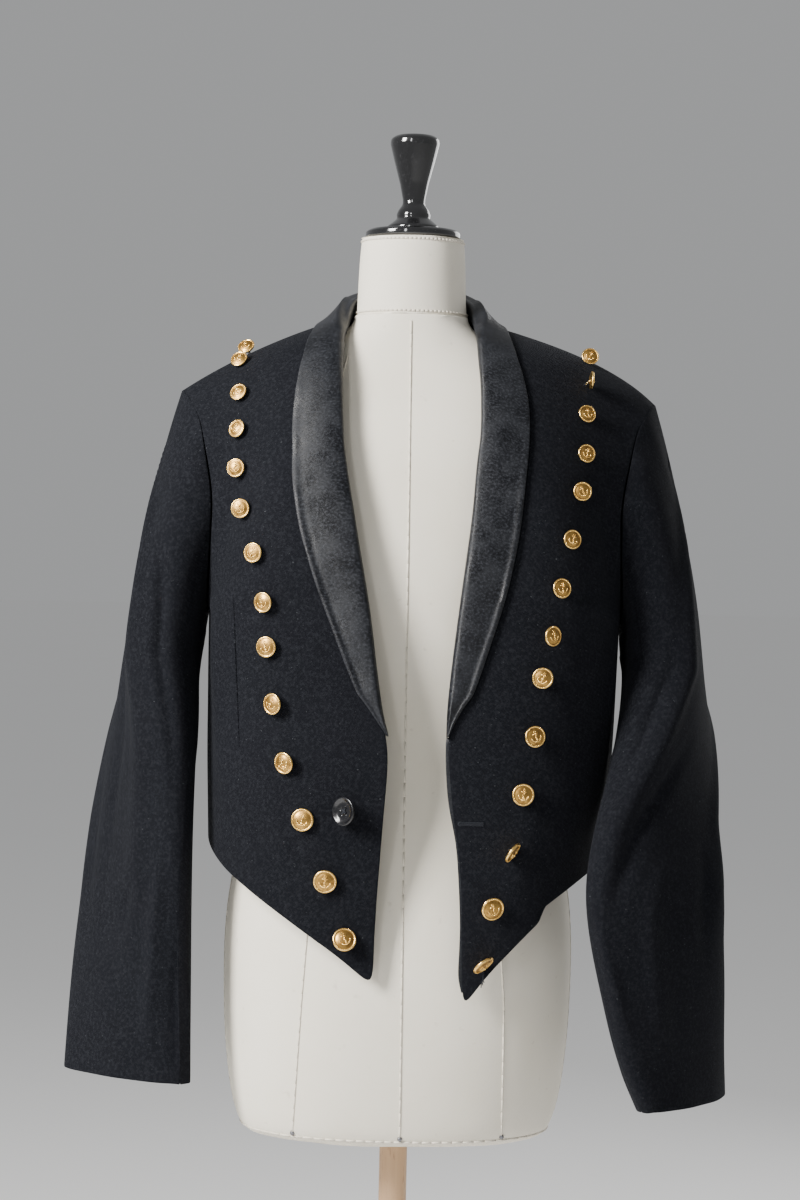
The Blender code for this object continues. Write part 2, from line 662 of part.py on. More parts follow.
def shawl(name, side):
    """One half of the shawl collar, from the centre back down to the break of the lapel."""
    first, last = SHAWL[0][0], SHAWL[-1][0]
    vs = [v for v in body_rows(-1.0) if first - 0.001 < v < 0.0]
    vs = sorted(vs) + [v for v in body_rows(1.0) if v < last] + [last]
    vs[0] = first
    rows = [shawl_row(side, v) for v in vs]
    draw_back(rows, "top", SEAM)
    return strip_wall(name, side, rows, BLACK_SATIN, 0.45, SATIN, SHAWL_TURN, True)


def lathe(name, rows, colour, rough, count, metal=0.0, squash=None):
    """A turned solid from height and radius rows."""
    bm = bmesh.new()
    rings = []
    for row in rows:
        z, r = row[0], row[1]
        ry = row[2] if len(row) > 2 else r
        ring = []
        for k in range(count):
            a = 2.0 * math.pi * k / count
            ring.append(bm.verts.new((r * math.cos(a), ry * math.sin(a), z)))
        rings.append(ring)
    for low, high in zip(rings, rings[1:]):
        for k in range(count):
            n = (k + 1) % count
            bm.faces.new((low[k], low[n], high[n], high[k]))
    bm.faces.new(list(reversed(rings[0])))
    bm.faces.new(rings[-1])
    return finish(name, bm, colour, rough, metal)


def torso(name):
    """The form's closed body, a stack of rounded sections."""
    count = 28
    bm = bmesh.new()
    rings = []
    for z, half, front, back in TORSO:
        ring = []
        for k in range(count):
            a = 2.0 * math.pi * k / count
            c, s = math.cos(a), math.sin(a)
            x = half * math.copysign(abs(c) ** 0.86, c)
            depth = front if s < 0 else back
            ring.append(bm.verts.new((x, depth * math.copysign(abs(s) ** 0.90, s), z)))
        rings.append(ring)
    for low, high in zip(rings, rings[1:]):
        for k in range(count):
            n = (k + 1) % count
            bm.faces.new((low[k], low[n], high[n], high[k]))
    bm.faces.new(list(reversed(rings[0])))
    bm.faces.new(rings[-1])
    return finish(name, bm, (0.78, 0.75, 0.68), 0.85)


def surface_of(piece):
    """Search tree over a piece's faces."""
    mesh = piece.data
    points = [v.co.copy() for v in mesh.vertices]
    return BVHTree.FromPolygons(points, [tuple(p.vertices) for p in mesh.polygons])


def button(name, tree, row, shape, size, count, colour, rough, metal):
    """A button on its stem, standing on the cloth and leaning as it hangs."""
    x, z, stem, lean, toward = row
    hit, normal, index, distance = tree.ray_cast(Vector((x, -1.0, z)), Vector((0.0, 1.0, 0.0)))
    if hit is None:
        hit, normal, index, distance = tree.find_nearest(Vector((x, -0.02, z)))
    if normal.y - normal.z > 0:
        normal = -normal
    side = Vector((1.0, 0.0, 0.0)) - normal * normal.x
    side.normalize()
    up = normal.cross(side)
    if up.z < 0:
        up = -up
    angle = math.radians(toward)
    pull = side * math.cos(angle) + up * math.sin(angle)
    tilt = math.radians(lean)
    axis = normal * math.cos(tilt) + pull * math.sin(tilt)
    foot = hit + normal * 0.0004
    neck = foot + normal * stem
    bm = bmesh.new()
    rings = []
    for step, (along, share) in enumerate(shape):
        radius = share * size
        if step == 0:
            centre, way = foot, normal
        elif step == 1:
            centre, way = neck, (normal + axis).normalized()
        else:
            centre, way = neck + axis * (along + 0.0006), axis
        if radius == 0.0:
            rings.append(bm.verts.new(centre))
            continue
        one = way.cross(Vector((0.0, 0.0, 1.0))).normalized()
        two = way.cross(one)
        ring = []
        for k in range(count):
            a = 2.0 * math.pi * k / count
            ring.append(bm.verts.new(centre + one * radius * math.cos(a) + two * radius * math.sin(a)))
        rings.append(ring)
    for low, high in zip(rings, rings[1:]):
        for k in range(count):
            n = (k + 1) % count
            if isinstance(high, list):
                bm.faces.new((low[k], low[n], high[n], high[k]))
            else:
                bm.faces.new((low[k], low[n], high))
    bm.faces.new(list(reversed(rings[0])))
    return finish(name, bm, colour, rough, metal)


def facing_strip(name, side, thick):
    """Narrow satin facing behind the front edge, from the break of the lapel to the tip."""
    first, last = SHAWL[-1][0] + 0.0015, 0.996
    vs = [first + (last - first) * i / 13 for i in range(14)]
    rows = []
    for v in vs:
        edge = body(side, 0.0, v)
        normal = body_normal(side, 0.0, v)
        along = unit(body(side, 0.02, v) - edge)
        rows.append([edge + along * a - normal * b for a, b in
                     ((-0.0034, 0.0034), (0.0010, 0.0034), (0.0070, 0.0034), (0.0130, 0.0034))])
    return strip_wall(name, side, rows, BLACK_SATIN, 0.45, thick, SHAWL_TURN)


def build():
    """Make every piece."""
    for old in list(bpy.data.objects):
        bpy.data.objects.remove(old, do_unlink=True)
    fronts = {}
    for side in ("right", "left"):
        fronts[side] = body_panel("front_" + side, side, 1.0)
        body_panel("back_" + side, side, -1.0)
        sleeve_panel("sleeve_top_" + side, side, 0.0, 1.0, 16)
        sleeve_panel("sleeve_under_" + side, side, 1.0, 2.0, 8)
        shawl("collar_" + side, side)
    facing_strip("facing_left", "left", 0.0012)
    for side in ("right", "left"):
        tree = surface_of(fronts[side])
        for number, row in enumerate(GOLD[side]):
            name = "button_%s_%02d" % (side, number + 1)
            growth = min(1.0, number / 12) ** 1.5
            size = UPPER_BUTTON_R + (BUTTON_R - UPPER_BUTTON_R) * growth
            button(name, tree, row, GOLD_SHAPE, size, 9, (0.83, 0.62, 0.26), 0.25, 1.0)
    tree = surface_of(fronts["right"])
    dark = (0.012, 0.012, 0.014)
    button("button_black", tree, BLACK, BLACK_SHAPE, BLACK_BUTTON_R, 14, dark, 0.12, 0.0)
    torso("form_torso")
    neck = [(NECK_BASE + z, rx, ry) for z, rx, ry in NECK]
    lathe("form_neck", neck, (0.78, 0.75, 0.68), 0.85, 28)
    lathe("neck_cap", CAP, (0.01, 0.01, 0.01), 0.12, 28)
    lathe("finial", FINIAL, (0.01, 0.01, 0.01), 0.12, 16)
    lathe("pole", ((0.0563, POLE_R), (FORM_BOTTOM - 0.0003, POLE_R)), (0.72, 0.55, 0.38), 0.5, 20)
    foot = [(z, BASE_R * r) for z, r in FOOT]
    lathe("base", foot, (0.72, 0.55, 0.38), 0.5, 40)
    lathe("base_socket", SOCKET, (0.72, 0.55, 0.38), 0.5, 24)


build()
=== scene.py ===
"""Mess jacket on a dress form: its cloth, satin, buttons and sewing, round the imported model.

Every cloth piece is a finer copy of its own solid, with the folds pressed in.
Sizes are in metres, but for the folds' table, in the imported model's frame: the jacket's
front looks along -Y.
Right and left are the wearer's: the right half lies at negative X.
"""
import bpy
import bmesh
import math
import numpy as np
from mathutils import Matrix, Vector
from mathutils.bvhtree import BVHTree


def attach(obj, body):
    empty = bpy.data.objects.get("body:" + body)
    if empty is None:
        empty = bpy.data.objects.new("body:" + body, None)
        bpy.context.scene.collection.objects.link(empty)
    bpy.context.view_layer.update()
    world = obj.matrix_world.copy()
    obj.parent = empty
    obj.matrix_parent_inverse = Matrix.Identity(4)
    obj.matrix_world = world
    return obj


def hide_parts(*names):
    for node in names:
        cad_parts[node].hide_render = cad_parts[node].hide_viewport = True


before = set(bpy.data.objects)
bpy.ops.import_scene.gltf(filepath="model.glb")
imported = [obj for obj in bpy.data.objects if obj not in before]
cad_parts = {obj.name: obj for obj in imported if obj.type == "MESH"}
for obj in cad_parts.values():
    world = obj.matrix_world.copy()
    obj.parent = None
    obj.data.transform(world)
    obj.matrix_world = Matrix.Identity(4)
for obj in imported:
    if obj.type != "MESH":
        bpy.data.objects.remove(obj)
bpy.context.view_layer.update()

# the photograph's camera: its place, how far it looks down and how far it leans, in degrees
CAMERA_AT = (-0.0051, -2.70, 1.218)
CAMERA_DOWN = 0.947
CAMERA_ROLL = 1.25
CAMERA_LENS = 83.5

# middle line of each arm: z, x, y, half length, half thickness, turn of the long side
ARM = {
    "right": (
        (1.120, -0.2337, 0.000, 0.0800, 0.0385, 86.0),
        (1.040, -0.2412, -0.010, 0.0800, 0.0340, 68.0),
        (0.960, -0.2482, -0.018, 0.0790, 0.0300, 56.5),
        (0.880, -0.2532, -0.028, 0.0770, 0.0270, 47.0),
        (0.800, -0.2557, -0.036, 0.0740, 0.0250, 38.0),
        (0.716, -0.2567, -0.045, 0.0710, 0.0220, 29.0),
    ),
    "left": (
        (1.115, 0.2500, -0.002, 0.0800, 0.0400, 86.0),
        (1.050, 0.2513, -0.034, 0.0800, 0.0385, 66.0),
        (0.970, 0.2413, -0.076, 0.0800, 0.0285, 45.0),
        (0.900, 0.2403, -0.095, 0.0785, 0.0265, 33.0),
        (0.825, 0.2493, -0.088, 0.0755, 0.0255, 37.0),
        (0.760, 0.2595, -0.072, 0.0720, 0.0240, 43.0),
        (0.703, 0.2736, -0.055, 0.0690, 0.0230, 52.0),
    ),
}
# the ring round the body: its middle in x, half width and half depth
CHEST_MIDDLE = 0.0088
CHEST_HALF_WIDTH = 0.195
CHEST_HALF_DEPTH = 0.140
# over the shoulder the way out leans up: from this height, over this much, by this share
LEAN_FROM = 1.30
LEAN_OVER = 0.12
LEAN_SHARE = 0.8
# smallest angle, in radians, from which the length of a degree is taken
LEAST_ANGLE = 0.03

# folds of each piece, every one a row of places: z, place round the piece in degrees, half
# width, height, all but the degrees in millimetres; a negative height is a trough
# round a sleeve 0 is its outer face, 90 its front edge and -90 its back edge;
# round the body 0 is the front and 90 the side seam, counted on each side from the front
FOLDS = {
    "sleeve_top_right": (
        ((1350, 50, 6, 0), (1330, 62, 7, -3), (1305, 70, 8, 0)),
        ((1330, 38, 10, 0), (1250, 50, 14, 3), (1150, 45, 14, 3.5), (1020, 35, 15, 3),
         (900, 22, 14, 2.2), (800, 10, 12, 0)),
        ((1290, 10, 9, 0), (1200, 12, 12, -2.4), (1080, 4, 12, -3), (980, -6, 11, -2.6),
         (880, -12, 10, 0)),
        ((1240, 84, 9, 0), (1170, 88, 10, -2.6), (1080, 82, 11, -2), (980, 76, 10, 0)),
        ((930, 52, 8, 0), (870, 44, 10, 2.8), (790, 36, 10, 2.4), (735, 30, 9, 0)),
        ((915, 24, 6, 0), (885, 16, 7, -2.6), (850, 12, 6, 0)),
        ((860, 72, 9, 0), (800, 64, 11, -2.2), (730, 60, 10, -0.8)),
        ((1180, -60, 12, 0), (1080, -52, 14, 2.6), (960, -58, 13, 2), (860, -50, 12, 0)),
        ((1010, -30, 9, 0), (930, -38, 11, -2.2), (840, -34, 10, 0)),
    ),
    "sleeve_top_left": (
        ((1345, 48, 6, 0), (1322, 60, 8, -2.6), (1295, 68, 8, 0)),
        ((1310, 34, 11, 0), (1220, 46, 14, 2.8), (1110, 52, 15, 3.4), (1000, 60, 15, 2.6),
         (900, 64, 13, 0)),
        ((1150, 76, 9, 0), (1070, 82, 12, -2.8), (985, 84, 11, 0)),
        ((1060, 20, 10, 0), (990, 34, 12, -3), (930, 44, 11, -2.2), (880, 50, 10, 0)),
        ((950, 10, 12, 0), (880, 20, 13, 2.6), (800, 24, 12, 2), (735, 26, 11, 0)),
        ((900, 72, 9, 0), (830, 66, 11, 2.4), (760, 62, 10, 0)),
        ((1200, -40, 12, 0), (1090, -50, 14, 2.6), (980, -46, 14, 2.4), (860, -54, 12, 0)),
        ((960, -22, 8, 0), (900, -30, 10, -2.4), (830, -26, 9, 0)),
    ),
    "sleeve_under_right": (
        ((1100, 150, 10, 0), (1030, 158, 12, 2), (950, 154, 11, 0)),
        ((1000, 205, 10, 0), (930, 212, 12, -2.2), (850, 208, 11, 0)),
        ((880, 168, 9, 0), (820, 176, 11, 1.8), (750, 172, 10, 0)),
    ),
    "sleeve_under_left": (
        ((1080, 200, 10, 0), (1000, 208, 12, 1.8), (920, 202, 11, 0)),
        ((1010, 152, 10, 0), (950, 160, 12, -2), (880, 156, 10, 0)),
        ((860, 190, 9, 0), (800, 184, 11, 1.8), (735, 188, 10, 0)),
    ),
    "front_right": (
        ((1310, 52, 10, 0), (1250, 56, 13, -2.2), (1180, 58, 12, 0)),
        ((1200, 66, 12, 0), (1120, 62, 15, 2.4), (1030, 58, 14, 1.8), (960, 52, 12, 0)),
        ((1040, 30, 12, 0), (980, 26, 14, 1.4), (900, 20, 12, 0)),
        ((1000, 46, 10, 0), (950, 40, 12, -1.4), (905, 34, 10, 0)),
    ),
    "front_left": (
        ((1300, 52, 10, 0), (1240, 57, 13, -2.4), (1160, 60, 12, 0)),
        ((1180, 68, 12, 0), (1100, 64, 15, 2.6), (1000, 60, 14, 2), (945, 56, 12, 0)),
        ((1020, 32, 12, 0), (950, 30, 14, 1.6), (870, 26, 12, 0)),
    ),
    "back_right": (
        ((1330, 150, 12, 0), (1250, 140, 16, 3.2), (1150, 132, 16, 2.6), (1050, 128, 14, 0)),
        ((1270, 122, 10, 0), (1190, 118, 13, -2.8), (1100, 116, 12, 0)),
        ((1120, 160, 14, 0), (1030, 156, 16, 2), (940, 154, 14, 0)),
        ((1050, 140, 12, 0), (990, 138, 14, -1.8), (930, 140, 13, -1)),
    ),
    "back_left": (
        ((1320, 148, 12, 0), (1230, 138, 16, 3), (1140, 134, 15, 2.4), (1060, 130, 14, 0)),
        ((1260, 120, 10, 0), (1180, 117, 13, -2.6), (1080, 118, 12, 0)),
        ((1090, 158, 14, 0), (1010, 160, 16, 1.8), (930, 158, 14, 0)),
        ((1400, 165, 12, 0), (1370, 150, 14, -1.6), (1350, 135, 12, 0)),
    ),
}
FOLD_UNITS = (0.001, 1.0, 0.001, 0.001)
FOLD_STRENGTH = 1.75

# a sleeve's head sinks beside the armhole edge: how near, how deep, above which height, and
# where the sinking ends towards the shoulder
SETIN_REACH = 0.009
SETIN_DEPTH = 0.0018
SETIN_FROM = 1.14
SETIN_END = 1.325
SETIN_FADE = 0.035
SETIN_ROUNDS = 5

# the collar is shaped in front and below its turn at the neck, and rolls more lower down; its
# outer and inner lines are read at small steps of height
COLLAR_TURN = 1.40
COLLAR_TURN_FADE = 0.10
COLLAR_FRONT = -0.045
COLLAR_FRONT_FADE = 0.035
COLLAR_LOW = 1.31
COLLAR_LOW_FADE = 0.12
LINE_STEP = 0.004
# its style line is rolled: height of the roll, then a ridge and a groove, each with distance
# from the line, half width, and share of the height above and added lower down
EDGE_ROLL = 0.0007
EDGE_RIDGE = (0.0034, 0.0023, 0.5, 1.0)
EDGE_GROOVE = (0.0085, 0.0030, -0.2, -0.5)
# its lower end runs out to a point: length of the point, share of the width that is left, and
# how far it lies back
COLLAR_TAPER = 0.040
COLLAR_POINT = 0.16
COLLAR_POINT_BACK = 0.0016

# slight rumples of each collar half: z, distance from the style line, half height, height;
# all are as wide and lie as slanted as the two figures below say
COLLAR_FOLDS = (
    (1.320, 0.030, 0.034, 0.0007),
    (1.262, 0.016, 0.024, -0.0007),
    (1.222, 0.032, 0.026, 0.0008),
    (1.180, 0.014, 0.018, -0.0006),
    (1.146, 0.022, 0.018, 0.0007),
    (1.112, 0.012, 0.014, -0.0005),
)
COLLAR_FOLD_WIDE = 0.013
COLLAR_FOLD_SLANT = 0.5

# the left front's hem: where it steps up, half the step's width, how high it is, how far it
# runs out and how far above the hem it is felt; then the hem's side end, measured from the
# body's middle, and how much it falls for a metre towards the middle
STEP_X = 0.1335
STEP_HALF = 0.003
STEP_RISE = 0.0100
STEP_RUN = 0.044
STEP_REACH = 0.06
HEM_SIDE_X = 0.186
HEM_SIDE_Z = 0.938
HEM_FALL = 0.95
# the back's hem: its seam, the step there, and how far beside and above it is evened out
BACK_SEAM_X = 0.0038
BACK_HEM_STEP = 0.010
BACK_HEM_BESIDE = 0.13
BACK_HEM_TOP = 1.03
BACK_HEM_FADE = 0.11
# the facing strip's lower end is drawn up: over how much, and by how much
FACING_REACH = 0.040
FACING_RISE = 0.007

# free edges wave: turns in radians for a metre along the edge, shift and share of the height;
# then reach above the edge and height at the cuffs and at the back's hem, and where that hem is
EDGE_WAVES = ((62.0, 1.0, 0.6), (131.0, 2.3, 0.4))
CUFF_WAVE = (0.10, 0.0011)
BACK_WAVE = (0.09, 0.0012)
BACK_HEM_Z = 0.912
CUFF_SHIFT = {"right": 1.0, "left": 2.2}
BACK_SHIFT = {"right": 0.7, "left": 1.9}

# a solid's points nearer than this become one
MERGE_WITHIN = 0.00002
# lowest corner of each front: how far round it this reaches, how crisp its edges stay and how
# much it is held in place
TIP_REACH = 0.004
TIP_CREASE = 0.30
TIP_HOLD = 0.6
# a smoothed piece is brought back onto its corners in some rounds, each by most of the way
SETTLE_ROUNDS = 3
SETTLE_SHARE = 0.85
# how crisp the cut edges stay
CLOTH_CREASE = 0.55
FORM_CREASE = 0.8

# profile of a gilt button from the middle of its back to the middle of its face: share of
# the radius, share of the height
BUTTON_PROFILE = ((0.00, 0.05), (0.50, 0.00), (0.86, 0.02), (0.97, 0.16), (1.00, 0.34),
                  (0.985, 0.52), (0.94, 0.63), (0.88, 0.62), (0.84, 0.52), (0.80, 0.50),
                  (0.70, 0.62), (0.55, 0.76), (0.35, 0.88), (0.15, 0.93), (0.00, 0.94))
BUTTON_HEIGHT = 0.42
# the rows of its face, from the middle out, and its sunk ground, which lies within this radius
# and above this height, in radii; the ground is painted a darker gilt as shade in the recess
FACE_ROWS = BUTTON_PROFILE[9:][::-1]
GROUND_RADIUS = 0.84
GROUND_ABOVE = 0.1
# its roped edge: beads, distance from the middle, height and size
ROPE_BEADS = 36
ROPE_RADIUS = 0.885
ROPE_HEIGHT = 0.262
ROPE_SIZE = 0.050
# in its solid: number of sides, radius of the ring next to the middle as a share of the whole,
# height of the face above the neck; and how far the made back lies above that neck
GOLD_SIDES = 9
GOLD_RING = 0.70
HEAD_ABOVE_NECK = 0.0053
BACK_ABOVE_NECK = 0.0010
# one leg of its wire shank: distance to the side and share of the way from back to foot
SHANK = ((0.0026, 0.0), (0.0024, 0.45), (0.0012, 0.72), (0.0, 0.80))
SHANK_WIRE = 0.00055

# the black button's profile, as above but both as shares of the radius; sides and ring of its
# solid, face above the back, height of its dish in radii, distance of each hole from both
# middle lines, and hole radius
BLACK_PROFILE = ((0.00, 0.00), (0.60, 0.00), (0.90, 0.08), (1.00, 0.20), (0.99, 0.28),
                 (0.94, 0.32), (0.86, 0.30), (0.74, 0.20), (0.62, 0.155), (0.40, 0.145), (0.0, 0.14))
BLACK_SIDES = 14
BLACK_RING = 0.67
BLACK_THICK = 0.0026
BLACK_DISH = 0.155
HOLE_AT = 0.0021
HOLE_RADIUS = 0.00115

# turned parts of the stand: radius and height from the middle below to the middle above, and
# how far each corner is rounded
STAND = {
    "neck_cap": (((0.0, 1.5223), (0.0440, 1.5223), (0.0462, 1.5240), (0.0462, 1.5285),
                  (0.0430, 1.5310), (0.0, 1.5310)), 0.0012),
    "finial": (((0.0, 1.5313), (0.0255, 1.5313), (0.0258, 1.5345), (0.0195, 1.5395), (0.0160, 1.5425),
                (0.0168, 1.5460), (0.0150, 1.5505), (0.0110, 1.5560), (0.0108, 1.5600),
                (0.0140, 1.5760), (0.0200, 1.5980), (0.0240, 1.6140), (0.0236, 1.6190),
                (0.0190, 1.6225), (0.0, 1.6225)), 0.0022),
    "pole": (((0.0, 0.0563), (0.0135, 0.0563), (0.0135, 0.6597), (0.0, 0.6597)), 0.0008),
    "base": (((0.0, 0.0), (0.1921, 0.0), (0.1950, 0.0040), (0.1950, 0.0180), (0.1901, 0.0245),
              (0.1814, 0.0280), (0.0, 0.0280)), 0.0030),
    "base_socket": (((0.0, 0.0283), (0.0370, 0.0283), (0.0340, 0.0400), (0.0220, 0.0520),
                     (0.0180, 0.0560), (0.0, 0.0560)), 0.0030),
}
# steps round a turned part of the stand, and pieces of each rounded corner
TURN_STEPS = 128
CORNER_STEPS = 5

# sewing on the form: half thickness of its seams and rings, how far they stand out, pieces of
# each, height of the form's lower edge, and half width of a nail's head
SEAM_RADIUS = 0.00085
RING_RADIUS = 0.0010
SEAM_OUT = 0.0002
RING_OUT = 0.0003
SEAM_STEPS = 60
RING_STEPS = 72
FORM_EDGE = 0.670
NAIL_RADIUS = 0.0024
# the form's upright seams, from the middle to both sides: heights with their x
FORM_SEAMS = (
    ((1.4400, 0.0000), (1.3000, 0.0010), (1.0000, 0.0030), (0.6700, 0.0056)),
    ((1.4050, -0.0600), (1.3000, -0.0840), (1.1500, -0.0900), (1.0000, -0.0760),
     (0.8000, -0.0890), (0.6700, -0.0956)),
    ((1.4050, 0.0650), (1.3000, 0.0920), (1.1500, 0.0980), (1.0000, 0.0840),
     (0.8000, 0.1005), (0.6700, 0.1016)),
)
SIDE_SEAM_TOP = 1.395

# the right front's dart, from its top to its lower end in x and z, and its half thickness
DART_TOP = (-0.1605, 1.1770)
DART_LOW = (-0.1520, 1.0350)
DART_STEPS = 24
DART_RADIUS = 0.0009
# the left front's buttonhole: middle in x and z, half length, stitches on each side and round
# its outer end, half thickness of a stitch and of the knot at its start
HOLE_MIDDLE = (0.0655, 0.9705)
HOLE_HALF = 0.0105
HOLE_STITCHES = 26
END_STITCHES = 9
STITCH_RADIUS = 0.00036
KNOT_RADIUS = 0.00042


def held(t):
    """A number or an array, held between 0 and 1."""
    return np.clip(t, 0.0, 1.0)


def smoothstep(t):
    """Soft rise from 0 to 1."""
    t = held(t)
    return t * t * (3.0 - 2.0 * t)


class Surface:
    """A procedural material, built node by node round one surface shader."""

    def __init__(self, name, rough, metal=0.0, **fixed):
        self.mat = bpy.data.materials.new(name)
        self.mat.use_nodes = True
        self.tree = self.mat.node_tree
        self.shader = self.tree.nodes["Principled BSDF"]
        self.shader.inputs["Roughness"].default_value = rough
        self.shader.inputs["Metallic"].default_value = metal
        for key, value in fixed.items():
            key = key.replace("_", " ").title().replace("Ior", "IOR")
            self.shader.inputs[key].default_value = value

    def add(self, kind, values=None, **settings):
        """One node, with its settings and its input values or links."""
        node = self.tree.nodes.new("ShaderNode" + kind)
        for key, value in settings.items():
            setattr(node, key, value)
        for key, value in (values or {}).items():
            if isinstance(value, bpy.types.NodeSocket):
                self.tree.links.new(value, node.inputs[key])
            else:
                node.inputs[key].default_value = value
        return node

    def place(self, weave=False):
        """Coordinates in metres: the object's own, or along and across the cloth."""
        if weave:
            return self.add("UVMap", uv_map="weave").outputs["UV"]
        return self.add("TexCoord").outputs["Object"]

    def noise(self, at, scale, detail=3.0, rough=0.55):
        """Soft noise from 0 to 1."""
        values = {"Vector": at, "Scale": scale, "Detail": detail, "Roughness": rough}
        return self.add("TexNoise", values).outputs["Fac"]

    def waves(self, at, pitch, turn, warp):
        """Parallel threads with one pitch, turned in the cloth's plane."""
        turned = self.add("Mapping", {"Vector": at, "Rotation": (0.0, 0.0, math.radians(turn))})
        values = {"Vector": turned.outputs["Vector"], "Scale": math.pi / 10.0 / pitch,
                  "Distortion": warp, "Detail": 2.0, "Detail Scale": 1.5}
        return self.add("TexWave", values, wave_type="BANDS").outputs["Fac"]

    def sum_of(self, a, b):
        """Sum of two values."""
        return self.add("Math", {0: a, 1: b}, operation="ADD").outputs[0]

    def product(self, a, b):
        """Product of two values."""
        return self.add("Math", {0: a, 1: b}, operation="MULTIPLY").outputs[0]

    def span(self, value, low, high, out_low=0.0, out_high=1.0):
        """The value's stretch from low to high, spread over another stretch."""
        values = {"Value": value, "From Min": low, "From Max": high,
                  "To Min": out_low, "To Max": out_high}
        return self.add("MapRange", values).outputs["Result"]

    def blend(self, share, one, two):
        """Mix of two colours."""
        one, two = (end if isinstance(end, bpy.types.NodeSocket) else (*end, 1.0)
                    for end in (one, two))
        return self.add("Mix", {0: share, 6: one, 7: two}, data_type="RGBA").outputs[2]

    def colour(self, value):
        """Give the shader its colour."""
        self.tree.links.new(value, self.shader.inputs["Base Color"])

    def rough(self, value):
        """Give the shader its roughness."""
        self.tree.links.new(value, self.shader.inputs["Roughness"])

    def bump(self, height, distance, strength):
        """Raise the surface by a height from 0 to 1 times a distance."""
        node = self.add("Bump", {"Height": height, "Distance": distance, "Strength": strength})
        self.tree.links.new(node.outputs["Normal"], self.shader.inputs["Normal"])


def wool():
    """Very dark navy wool: fine steep twill with a painted highlight on its raised threads, a little
    nap, faint mottling and pale lint.
    """
    s = Surface("wool_twill", 0.85, specular_ior_level=0.08, sheen_weight=0.024,
                sheen_roughness=0.40, sheen_tint=(0.62, 0.66, 0.76, 1.0))
    cloth = s.place(weave=True)
    room = s.place()
    twill = s.waves(cloth, 0.0011, 62.0, 0.9)
    yarn = s.waves(cloth, 0.0007, 0.0, 1.4)
    fibre = s.noise(cloth, 1400.0, 2.0, 0.7)
    patch = s.noise(room, 13.0, 5.0, 0.6)
    nap = s.noise(room, 330.0, 3.0, 0.75)
    worn = s.span(patch, 0.35, 0.70)
    deep = s.blend(worn, (0.0018, 0.0021, 0.0037), (0.0033, 0.0037, 0.0056))
    tufted = s.blend(s.span(nap, 0.46, 0.66), deep, (0.0125, 0.0134, 0.0168))
    # painted highlight: the twill's raised threads, broken up by fibre noise, are painted a lighter
    # navy
    twill_highlight = s.span(s.sum_of(twill, fibre), 0.85, 1.55)
    lit = s.blend(twill_highlight, tufted, (0.0090, 0.0098, 0.0126))
    lint = s.span(s.noise(room, 560.0, 1.0, 0.4), 0.770, 0.795)
    s.colour(s.blend(lint, lit, (0.050, 0.053, 0.058)))
    s.rough(s.span(fibre, 0.2, 0.8, 0.78, 0.95))
    height = s.sum_of(s.product(twill, yarn), s.product(fibre, 0.6))
    s.bump(height, 0.00025, 0.9)
    return s.mat


def satin():
    """Black satin: soft sheen along its ribs, a slightly uneven, handled face."""
    s = Surface("black_satin", 0.37, specular_ior_level=0.27, sheen_weight=0.015, sheen_roughness=0.3,
                anisotropic=0.40)
    cloth = s.place(weave=True)
    room = s.place()
    rib = s.waves(cloth, 0.0009, 88.0, 1.2)
    slub = s.noise(cloth, 420.0, 3.0, 0.7)
    patch = s.noise(room, 60.0, 2.5, 0.5)
    dark = s.blend(s.span(patch, 0.35, 0.65), (0.0032, 0.0035, 0.0048), (0.0085, 0.0094, 0.0122))
    s.colour(s.blend(s.span(slub, 0.48, 0.68), dark, (0.0240, 0.0262, 0.0320)))
    s.rough(s.span(s.sum_of(patch, slub), 0.80, 1.20, 0.28, 0.52))
    threads = s.sum_of(s.product(rib, 0.5), s.product(slub, 1.1))
    s.bump(s.sum_of(threads, s.product(patch, 2.8)), 0.00022, 0.75)
    return s.mat


def canvas():
    """Cream cotton canvas of the form: plain weave with painted shade in its gaps, a few slubs, and
    large patches of painted shade.
    """
    s = Surface("form_canvas", 0.88, specular_ior_level=0.25, sheen_weight=0.06)
    cloth = s.place(weave=True)
    room = s.place()
    warp = s.waves(cloth, 0.0010, 0.0, 0.8)
    weft = s.waves(cloth, 0.0010, 90.0, 0.8)
    slub = s.noise(cloth, 260.0, 3.0, 0.7)
    # painted shade: large random patches of the canvas are painted a darker, warmer cream
    shade_patch = s.noise(room, 5.0, 5.0, 0.6)
    cream = s.blend(s.span(shade_patch, 0.35, 0.75), (0.830, 0.785, 0.680), (0.760, 0.705, 0.580))
    thread = s.product(warp, weft)
    spots = s.span(s.noise(room, 95.0, 2.0, 0.5), 0.70, 0.78)
    base = s.blend(s.product(spots, 0.35), cream, (0.50, 0.44, 0.34))
    # painted shade: the gaps between crossing threads are painted a darker, greyer cream
    s.colour(s.blend(s.span(thread, 0.0, 0.8, 0.22, 0.0), base, (0.56, 0.52, 0.44)))
    s.bump(s.sum_of(thread, slub), 0.00025, 0.55)
    return s.mat


def gilt(name, bright, dull, rough):
    """Gilt brass with a little tarnish."""
    s = Surface(name, rough, 1.0)
    room = s.place()
    wear = s.noise(room, 210.0, 4.0, 0.6)
    s.colour(s.blend(s.span(wear, 0.42, 0.68), bright, dull))
    s.rough(s.span(wear, 0.3, 0.7, rough, rough + 0.22))
    s.bump(s.noise(room, 900.0, 2.0, 0.5), 0.00006, 0.5)
    return s.mat


def lacquer(name, colour, rough, coat):
    """Smooth dark gloss with faint dust and hairline wear."""
    s = Surface(name, rough, coat_weight=coat, coat_roughness=0.04)
    room = s.place()
    dust = s.noise(room, 320.0, 3.0, 0.6)
    s.colour(s.blend(s.span(dust, 0.60, 0.78, 0.0, 0.35), colour, (0.05, 0.05, 0.055)))
    s.rough(s.span(dust, 0.35, 0.75, rough, rough + 0.14))
    s.bump(s.noise(room, 60.0, 3.0, 0.5), 0.00008, 0.25)
    return s.mat


